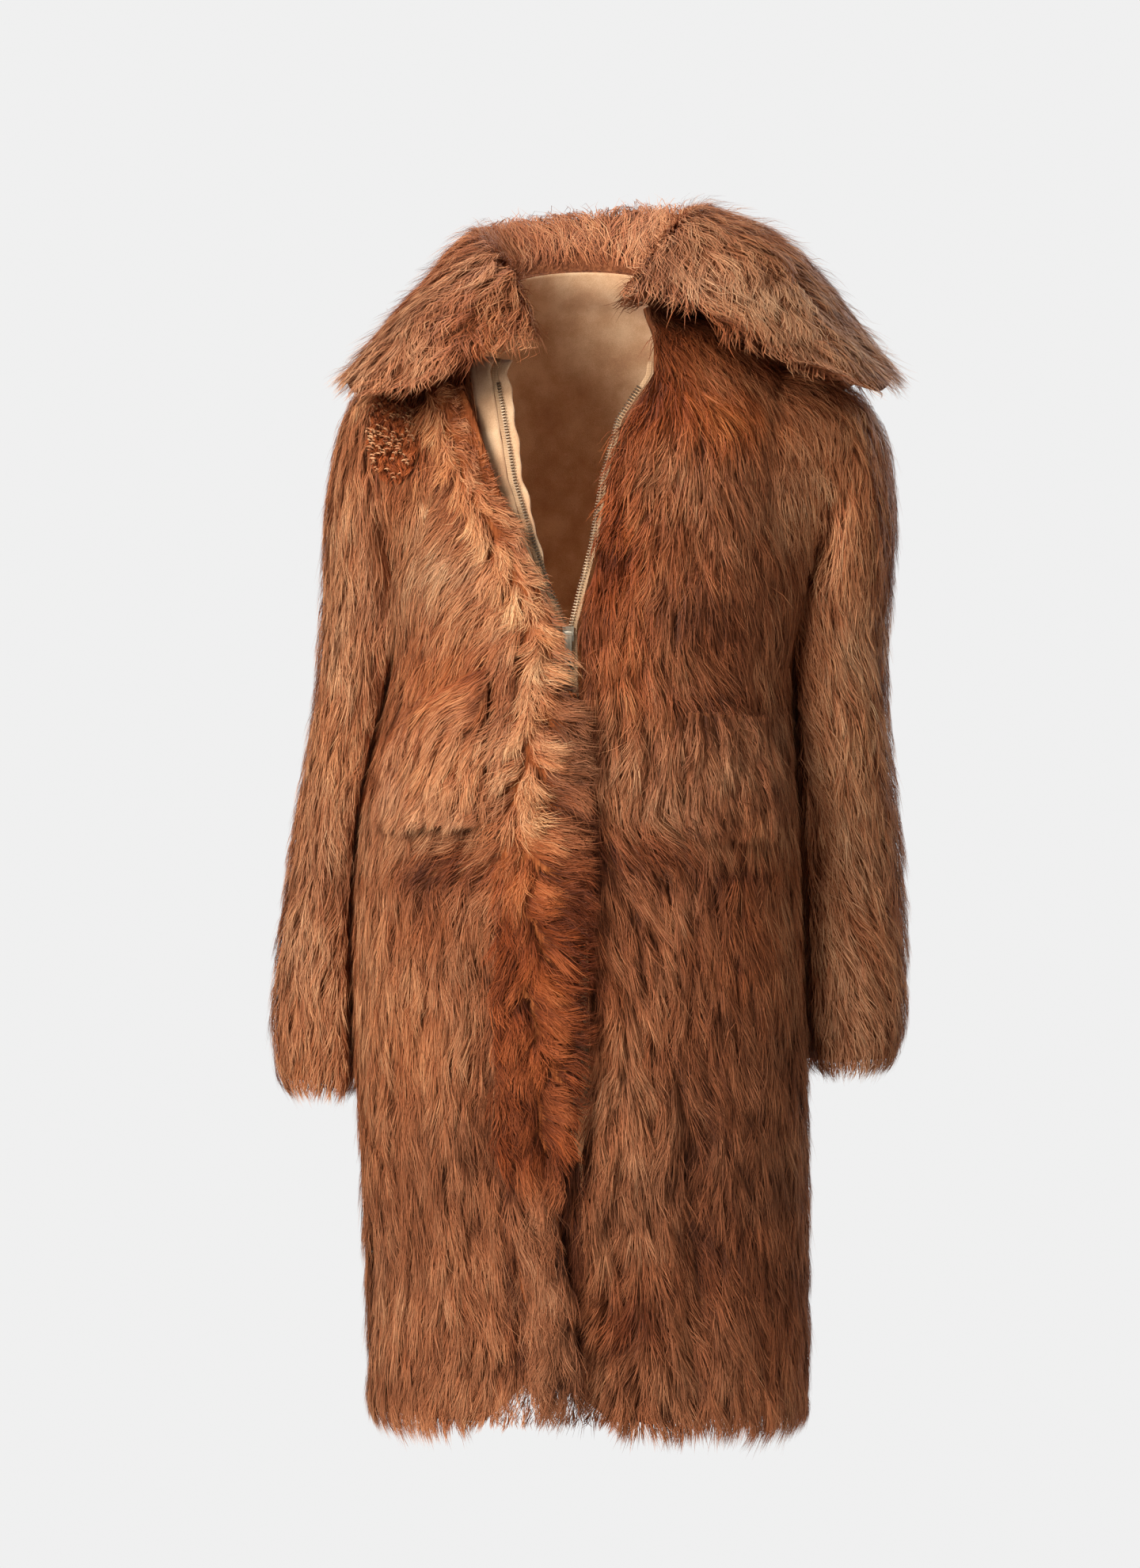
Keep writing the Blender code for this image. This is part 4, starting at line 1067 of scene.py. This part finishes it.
# roots spread evenly over a stretch of surface: tries kept in proportion to the area they stand for
def scatter(surface, count, rowRange, columns, weightAt, rng):
    draws = count * 5
    i = rng.uniform(rowRange[0], rowRange[1], draws)
    start, end = columns(i) if callable(columns) else columns
    j = start + (end - start) * rng.random(draws)
    points, stepRow, stepColumn = readSurface(surface, i, j, ("points", "stepRow", "stepColumn"))
    area = lengthOf(np.cross(stepRow, stepColumn)) * np.abs(end - start)
    if weightAt:
        area = area * weightAt(points)
    keep = np.flatnonzero(rng.random(draws) < area / (area.mean() * 3.2))[:count]
    return i[keep], j[keep], points[keep]


# the coat's colour and painted shade: broad cloudy tones, a little warmer high up, and the front's patches,
# whose dark ones are painted shade
def baseColourAndShade(points):
    lighter, warmer = readBells(points, frontColourAndShade)
    tone = 0.51 + swingAt(points, (0.09, 0.070, 7.5), (0.10, 0.022, 5.1))
    warm = 0.28 + swingAt(points, (0.16, 0.085, 2.2), (0.07, 0.03, 8.1))
    warm = warm + 0.08 * np.clip((points[..., 2] + 0.45) / 0.4, -1.0, 1.0)
    return tone + lighter, warm + warmer


# one piece's hair: its roots, their colour and length shares, then its strands; without a rule of its own
# the hair ends a little past the grid's last row
def plantHair(node, surface, rows, columns, heading, weightAt=None, shadeAt=None, shareAt=None,
              reachAt=None):
    settings = hairSettings[node]
    rng = np.random.default_rng(settings["seed"])
    i, j, points = scatter(surface, settings["count"], rows, columns, weightAt, rng)
    tone, warm = baseColourAndShade(points)
    if shadeAt:
        tone, warm = shadeAt(points, tone, warm)
    if shareAt:
        share = shareAt(points, rng)
    else:
        stepRow, = readSurface(surface, i, j, ("stepRow",))
        left = (surface["points"].shape[0] - 1.0 - i) * lengthOf(stepRow) + settings["past"]
        share = np.clip(left / settings["length"], 0.2, 1.0)
    growHair("hair_" + node, surface, i, j, settings, heading, tone + settings["lighter"],
             warm + settings["warmer"], share, reachAt(i, j) if reachAt else 1.0, rng)


curlPatch = {"x": -0.158, "z": -0.112, "wide": 0.021, "high": 0.036, "above": 0.020}
curlShape = {"count": 150, "hairs": 11, "segments": 5, "turn": 5.6, "radius": 0.0013, "low": -0.0030,
             "high": 0.0042, "width": 0.0011, "tone": 0.72, "warm": 0.45, "baseTone": 0.33, "baseWarm": 0.90}


# inside the curly patch's ellipse, or in the hair above it that would fall over it
def inCurls(points, above=0.0):
    rise = points[..., 2] - curlPatch["z"]
    high = np.where(rise > 0, curlPatch["high"] + above, curlPatch["high"])
    far = ((points[..., 0] - curlPatch["x"]) / curlPatch["wide"]) ** 2 + (rise / high) ** 2
    return (far < 1) & (points[..., 1] < 0)


# hair darkened as painted shade in the gaps beside the placket and its tongue, and rust along the open edge
# of the left front
def edgeShadeAndRust(points):
    x, z = points[..., 0], points[..., 2]
    low = toShare((-0.67 - z) / 0.05)
    outer = bell(x - stripOuter(z) + 0.003, 0.008 - 0.002 * low) * toShare((-0.49 - z) / 0.05)
    pastInner = x - stripInner(z)
    inner = bell(pastInner, 0.015) * (pastInner > -0.004) * toShare((-0.30 - z) / 0.04)
    opened = bell(x - atHeight(edgeRows, "left", z) - 0.012, 0.020) * toShare((z + 0.34) / 0.05)
    atHem = np.clip((z + 0.890) / 0.05, 0.3, 1.0)
    # outer and inner are painted shade in the troughs beside the strip and its tongue; opened is rust along
    # the open edge
    darker = atHem * ((0.26 + 0.18 * low) * outer + (0.40 + 0.14 * low) * inner) + 0.20 * opened
    front = points[..., 1] < 0
    return front * darker, front * (0.25 * opened + 0.2 * inner)


# how much thinner the panels' hair is near the neck and how much denser at the hem, by height
panelHair = {"neckZ": -0.02, "neckShare": 0.6, "hemZ": -0.885, "hemShare": 2.6, "foot": 0.08, "top": 0.4}


# panel hair: between the panel's edges, none under the placket, denser at the hem, ending along its line
def addPanelHair(node):
    start, end = panelEdges[node]

    def columnsAt(i):
        row = indexToRow(i)
        return turnToIndex(start(row)), turnToIndex(end(row))

    def weightAt(points):
        x, z = points[..., 0], points[..., 2]
        weight = np.where(z > panelHair["neckZ"], panelHair["neckShare"], 1.0)
        weight = weight * np.where(z < panelHair["hemZ"], panelHair["hemShare"], 1.0)
        if node == "front_right":
            weight[(x > stripOuter(z) + 0.008) & (x < stripInner(z)) & (z < -0.08) & (z > -0.89)] = 0.0
        weight[inCurls(points, curlPatch["above"])] = 0.0
        return weight

    def shadeAt(points, tone, warm):
        # painted shade beside the placket and its tongue, and rust along the open edge
        darker, redder = edgeShadeAndRust(points)
        return tone - darker, warm + redder

    def hemShare(points, rng):
        length = hairSettings[node]["length"]
        left = (points[..., 2] - hemAt(points)) * rng.uniform(0.80, 1.08, len(points))
        return np.where(left < length * 1.35, np.clip(left / length, 0.25, 1.0), 1.0)

    rows = (rowToIndex(panelHair["foot"]), rowToIndex(neckRow - panelHair["top"]))
    plantHair(node, bodySurface, rows, columnsAt, bodyHeading, weightAt, shadeAt, hemShare)


for node in panelEdges:
    addPanelHair(node)
for node, surface in sleeveSurfaces.items():
    rows, columns = surface["points"].shape[:2]
    plantHair(node, surface, (8.0, rows - 3.0), (0.0, float(columns)), sleeveHeading,
              lambda points: 1.0 - inCurls(points, curlPatch["above"]))


# the curly patch: dark short hair, and over it small coils that narrow as they rise to a pale tip
def addCurls(surface):
    above = curlPatch["above"] + 0.002
    rows, columns = np.nonzero(inCurls(surface["points"], above))
    rowRange = (rows.min() - 1.0, rows.max() + 1.0)
    columnRange = (columns.min() - 1.0, columns.max() + 1.0)
    settings = hairSettings["curls"]
    rng = np.random.default_rng(settings["seed"])

    def clumps(at):
        return inCurls(at, 0.004) * np.clip(0.35 + softNoise(at, 0.009, 4.4), 0.03, 1.0)

    i, j, points = scatter(surface, settings["count"], rowRange, columnRange,
                           lambda at: inCurls(at, above) * 1.0, rng)
    growHair("hair_curls", surface, i, j, settings, bodyHeading, curlShape["baseTone"], curlShape["baseWarm"],
             1.0, 1.0, rng)
    i, j, points = scatter(surface, curlShape["count"], rowRange, columnRange, clumps, rng)
    hairs = curlShape["hairs"]
    i, j = np.repeat(i, hairs), np.repeat(j, hairs)
    size = np.repeat(rng.uniform(0.7, 1.25, len(points)), hairs)[:, None]
    found = readSurface(surface, i, j, ("points", "normal", "stepRow"))
    middle, normal, stepRow = (value[:, None] for value in found)
    first = unit(np.cross(normal, stepRow))
    second = np.cross(normal, first)
    s = np.linspace(0.0, 1.0, curlShape["segments"] + 1)[None, :]
    angle = np.repeat(rng.uniform(0.0, 6.3, len(points)), hairs) + rng.normal(0.0, 0.5, len(i))
    angle = angle[:, None] + s * curlShape["turn"]
    reach = curlShape["radius"] * size * (1 - 0.6 * s) * rng.uniform(0.7, 1.2, (len(i), 1))
    height = curlShape["low"] + (curlShape["high"] - curlShape["low"]) * s * size
    outward = first * np.cos(angle)[..., None] + second * np.sin(angle)[..., None]
    path = middle + outward * reach[..., None] + normal * height[..., None]
    addStrands("hair_coils", path, unit(outward + normal * 0.4), unit(outward * 0.5 + normal),
               np.full(len(i), curlShape["width"]), curlShape["tone"] + rng.normal(0.0, 0.12, len(i)),
               np.full(len(i), curlShape["warm"]))


addCurls(sleeveSurfaces["sleeve_right"])
# shares of the collar's rows between which each face carries its hair
for node, surface, start, end in (("collar", collarTop, 0.04, 0.975),
                                  ("collarBelow", collarBelow, 0.50, 0.965)):
    rows, columns = surface["points"].shape[:2]
    plantHair(node, surface, (rows * start, rows * end), (1.0, columns - 2.0), collarHeading)

# left edge of the bare suede beside the zip, by height
bareEdge = inMetres({"z": (-225, -200, -165, -137, -115, -60), "x": (100, -30, -62, -73.5, -83.5, -101.5)})


# placket hair: rooted on the strip, longest at the parting, pale on the loose tongue
def addPlacketHair():
    def columnsAt(i):
        row = indexToRow(i)
        z = smoothRead(bodyRows["frontZ"], row)
        return (turnToIndex(frontTurn(stripOuter(z) + 0.003, row)),
                turnToIndex(frontTurn(stripInner(z) - 0.002, row)))

    def room(points):
        return atHeight(bareEdge, "x", points[..., 2]) - points[..., 0]

    def fromRidge(points):
        return points[..., 0] - atHeight(ridgeRows, "x", points[..., 2])

    def looseShare(z):
        return toShare((-0.690 - z) / 0.04)

    def weightAt(points):
        return (room(points) > 0.002) * (1.0 + 1.6 * bell(fromRidge(points), 0.007))

    def shadeAt(points, tone, warm):
        z = points[:, 2]
        near, right = bell(fromRidge(points), 0.010), toShare(fromRidge(points) / 0.030)
        loose, high = looseShare(z), toShare((z + 0.500) / 0.10)
        low = (1 - high) * (1 - loose)
        tone = tone + (0.24 * near - 0.03) * high + (0.14 * near - 0.26) * low - 0.08 * loose
        # the strip's side past the parting, turned from the light, is darkened as painted shade
        tone = tone - (0.20 + 0.12 * loose) * right * toShare((-0.27 - z) / 0.05)
        return tone, warm + 0.30 * near * high + 0.46 * low - 0.12 * loose - 0.06 * high

    def shareAt(points, rng):
        z = points[:, 2]
        beside = 0.013 * bell(z + 0.296, 0.016)     # a few hairs lie over the pull tab
        toEdge = stripInner(z) + 0.009 + beside - points[:, 0] + 0.060 * looseShare(z)
        return np.clip(np.minimum(room(points), toEdge) / 0.028, 0.25, 1.0 + 0.25 * looseShare(z))

    plantHair("placket", bodySurface, (rowToIndex(rowOf(-0.892)), rowToIndex(rowOf(-0.084))), columnsAt,
              placketHeading, weightAt, shadeAt, shareAt)


addPlacketHair()


# pocket hair: on the patch's own grid, its height following the pile's share
def addPocketHair(node):
    places = 60
    turn, row, down, side = pocketGrid(node, places, places)
    points, normal = bodyPoint(turn, row, folded=False)
    plantHair(node, makeSurface(points, False, normal), (1.0, 58.0), (2.0, 57.0), bodyHeading,
              reachAt=lambda i, j: 0.25 + 0.75 * pocketSwell(i / places, j / places))


for node in pocketCorners:
    addPocketHair(node)
print("hair ready")

for node in ("zip_slider", "zip_pull"):
    made = bpy.data.objects[node]
    made.data.materials.clear()
    made.data.materials.append(metalFinish)

# strips beside the zip: slot, x of both edges from the line of the teeth, each at the top and the foot,
# heights, depth, thickness and creases in millimetres, flat size and its area
anyStrip = {"z": (-664, -48), "out": -13, "wander": 0.15, "columns": 7}
anyTape = dict(anyStrip, slot="zip_tape", thick=1.0, crease=0.3)
anySuede = dict(anyStrip, slot="suede", thick=1.5)
zipStrips = {
    "zip_tape_right": dict(anyTape, start=(-6.2, -6.2), end=(-0.6, -0.6), flat=(0.010, 0.62), area=0.0036),
    "zip_tape_left": dict(anyTape, start=(0.6, 0.6), end=(5.0, 9.5), flat=(0.012, 0.62), area=0.0052),
    "suede_right": dict(anySuede, start=(-25.6, -19.0), end=(-6.6, -6.6), crease=1.8, flat=(0.025, 0.62),
                        area=0.0090),
    "facing_right": dict(anySuede, z=(-245, -48), start=(-5.0, -5.0), end=(8.0, -3.5), out=-15.1,
                         crease=1.4, wander=0.9, flat=(0.014, 0.20), area=0.0021),
}


# creases of a strip at each height and place across it: uneven waves, strongest towards its free edge
def creaseAt(heights, part):
    wave = np.sin(heights * 210 + 0.7) + 0.7 * np.sin(heights * 390 + 2.0) + 0.4 * np.sin(heights * 91)
    return wave * (0.25 + 0.75 * part)


# zip strip: between two edges that follow the teeth, narrowing to its foot, creased along its free edge
def addZipStrip(node, strip):
    low, high = inMetres(strip["z"])
    heights = np.linspace(low, high, int((high - low) / 0.004))
    place = (heights - low) / (high - low)
    if node == "facing_right":
        place = np.sqrt(toShare(place * 1.5))
    line = atHeight(edgeRows, "left" if node.endswith("left") else "right", heights)

    def edgeOf(name, wander):
        top, foot = inMetres(strip[name])
        return line + foot + (top - foot) * place + wander / 1000.0 * creaseAt(heights * 0.7, 1.0)

    part = np.linspace(0.0, 1.0, anyStrip["columns"])
    out = (strip["out"] + strip["crease"] * 0.4 * creaseAt(heights[:, None], part)) / 1000.0
    edges = (edgeOf("start", anyStrip["wander"]), edgeOf("end", strip["wander"]))
    outer, inner = (stripGrid(heights, *edges, len(part), depth)
                    for depth in (out + strip["thick"] / 1000.0, out))
    finish = tapeFinish if strip["slot"] == "zip_tape" else suedeFinish
    piece = addShell(node + "_cloth", outer, inner, strip["slot"], (finish,))
    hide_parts(node)


for node, strip in zipStrips.items():
    addZipStrip(node, strip)

toothSettings = {"pitch": 0.0024, "size": (0.0032, 0.0013, 0.0022), "top": -0.0715, "foot": -0.6530,
                 "out": -0.0110, "nose": 0.6}


# teeth: small blocks with a narrower nose, one at each pitch along the line of the zip on both sides
def addTeeth(side, sign):
    settings = toothSettings
    count = int((settings["top"] - settings["foot"]) / settings["pitch"])
    heights = np.linspace(settings["foot"], settings["top"], count)
    if side == "right":
        heights = heights + settings["pitch"] / 2
    row = rowOf(heights)
    points, normal = bodyPoint(frontTurn(atHeight(edgeRows, side, heights), row), row, folded=False)
    points = points + normal * settings["out"]
    up = unit(np.gradient(points, axis=0))
    outside = unit(np.cross(normal, up))
    outside = outside * sign * np.sign(outside[:, 0].mean())
    corners = [(a, b, c) for a in (-0.35, 0.65) for b in (-0.5, 0.5) for c in (-0.5, 0.5)]
    shape = np.array(corners) * settings["size"]
    shape[:4, 1:] *= settings["nose"]
    blocks = points[:, None] + sum(axis[:, None] * shape[None, :, k:k + 1]
                                   for k, axis in enumerate((outside, up, normal)))
    quads = np.array([(0, 1, 3, 2), (4, 6, 7, 5), (0, 4, 5, 1), (2, 3, 7, 6), (0, 2, 6, 4), (1, 5, 7, 3)])
    faces = (np.arange(count)[:, None, None] * 8 + quads[None]).reshape(-1, 4)
    mesh = bpy.data.meshes.new("zip_teeth_" + side)
    mesh.from_pydata(blocks.reshape(-1, 3).tolist(), [], faces.tolist())
    mesh.update()
    linkPiece("zip_teeth_" + side, mesh, "zip_metal", teethFinish)


addTeeth("left", 1.0)
addTeeth("right", -1.0)
print("zip ready")

studio = {"floorZ": -1.45, "floorSize": 6.0, "fadeStart": 1.2, "fadeEnd": 2.3,
          "paper": (0.85, 0.85, 0.85, 1.0), "seenWorld": 0.70, "worldLight": 0.17,
          "lens": 149.9, "sensor": 36.0, "cameraPlace": (-0.010, -4.0, -0.4002)}
# each light's place, the height it points at, its size, power in watts and colour
lights = {
    "keyLight": ((-2.3, -3.0, 1.3), -0.40, (1.8, 2.2), 262.0, (1.0, 0.985, 0.96)),
    "fillLight": ((2.6, -3.0, 0.4), -0.45, (2.0, 2.4), 16.0, (1.0, 0.99, 0.97)),
    "topLight": ((-0.4, 0.6, 2.6), -0.30, (2.2, 1.8), 60.0, (1.0, 1.0, 1.0)),
    "backLight": ((1.8, 3.0, 0.9), -0.45, (1.8, 2.2), 60.0, (1.0, 1.0, 1.0)),
}


# floor: a pale disc that fades out, alpha falling with the distance from its middle
def addFloor():
    bpy.ops.mesh.primitive_circle_add(vertices=64, radius=studio["floorSize"], fill_type="NGON",
                                      location=(0.0, 0.0, studio["floorZ"]))
    floor = bpy.context.object
    floor.name = "floor"
    made, tree, shader = newMaterial("floorPaper", {"Base Color": studio["paper"], "Roughness": 0.9})
    place = addNode(tree, "TexCoord", {})
    distance = addNode(tree, "VectorMath", {0: place.outputs["Object"]})
    distance.operation = "LENGTH"
    fade = addNode(tree, "MapRange", {"From Min": studio["fadeEnd"], "From Max": studio["fadeStart"],
                                      "Value": distance.outputs["Value"]})
    setInputs(tree, shader, {"Alpha": fade.outputs[0]})
    floor.data.materials.append(made)


# soft light: a rectangle turned towards a point on the coat's middle line at this height
def addLight(name, place, aimZ, size, energy, colour):
    light = bpy.data.lights.new(name, "AREA")
    light.shape = "RECTANGLE"
    light.size, light.size_y = size
    light.energy = energy
    light.color = colour
    holder = bpy.data.objects.new(name, light)
    bpy.context.scene.collection.objects.link(holder)
    holder.location = place
    toward = unit(np.array((0.0, 0.0, aimZ)) - np.array(place))
    quarter = math.pi / 2
    holder.rotation_euler = (math.asin(toward[2]) + quarter, 0.0, math.atan2(toward[1], toward[0]) - quarter)


addFloor()
for name, values in lights.items():
    addLight(name, *values)

bpy.context.scene.view_settings.view_transform = "Standard"
world = bpy.data.worlds.new("studio")
bpy.context.scene.world = world
world.use_nodes = True
seen = addNode(world.node_tree, "LightPath", {})
strength = addMath(world.node_tree, "MULTIPLY_ADD", seen.outputs["Is Camera Ray"], studio["seenWorld"],
                   studio["worldLight"])
setInputs(world.node_tree, world.node_tree.nodes["Background"],
          {"Color": (1.0, 1.0, 1.0, 1.0), "Strength": strength})

camera = bpy.data.cameras.new("photoCamera")
camera.lens = studio["lens"]
camera.sensor_fit = "HORIZONTAL"
camera.sensor_width = studio["sensor"]
cameraHolder = bpy.data.objects.new("photoCamera", camera)
bpy.context.scene.collection.objects.link(cameraHolder)
cameraHolder.location = studio["cameraPlace"]
cameraHolder.rotation_euler = (math.pi / 2, 0.0, 0.0)
bpy.context.scene.camera = cameraHolder
print("studio ready")
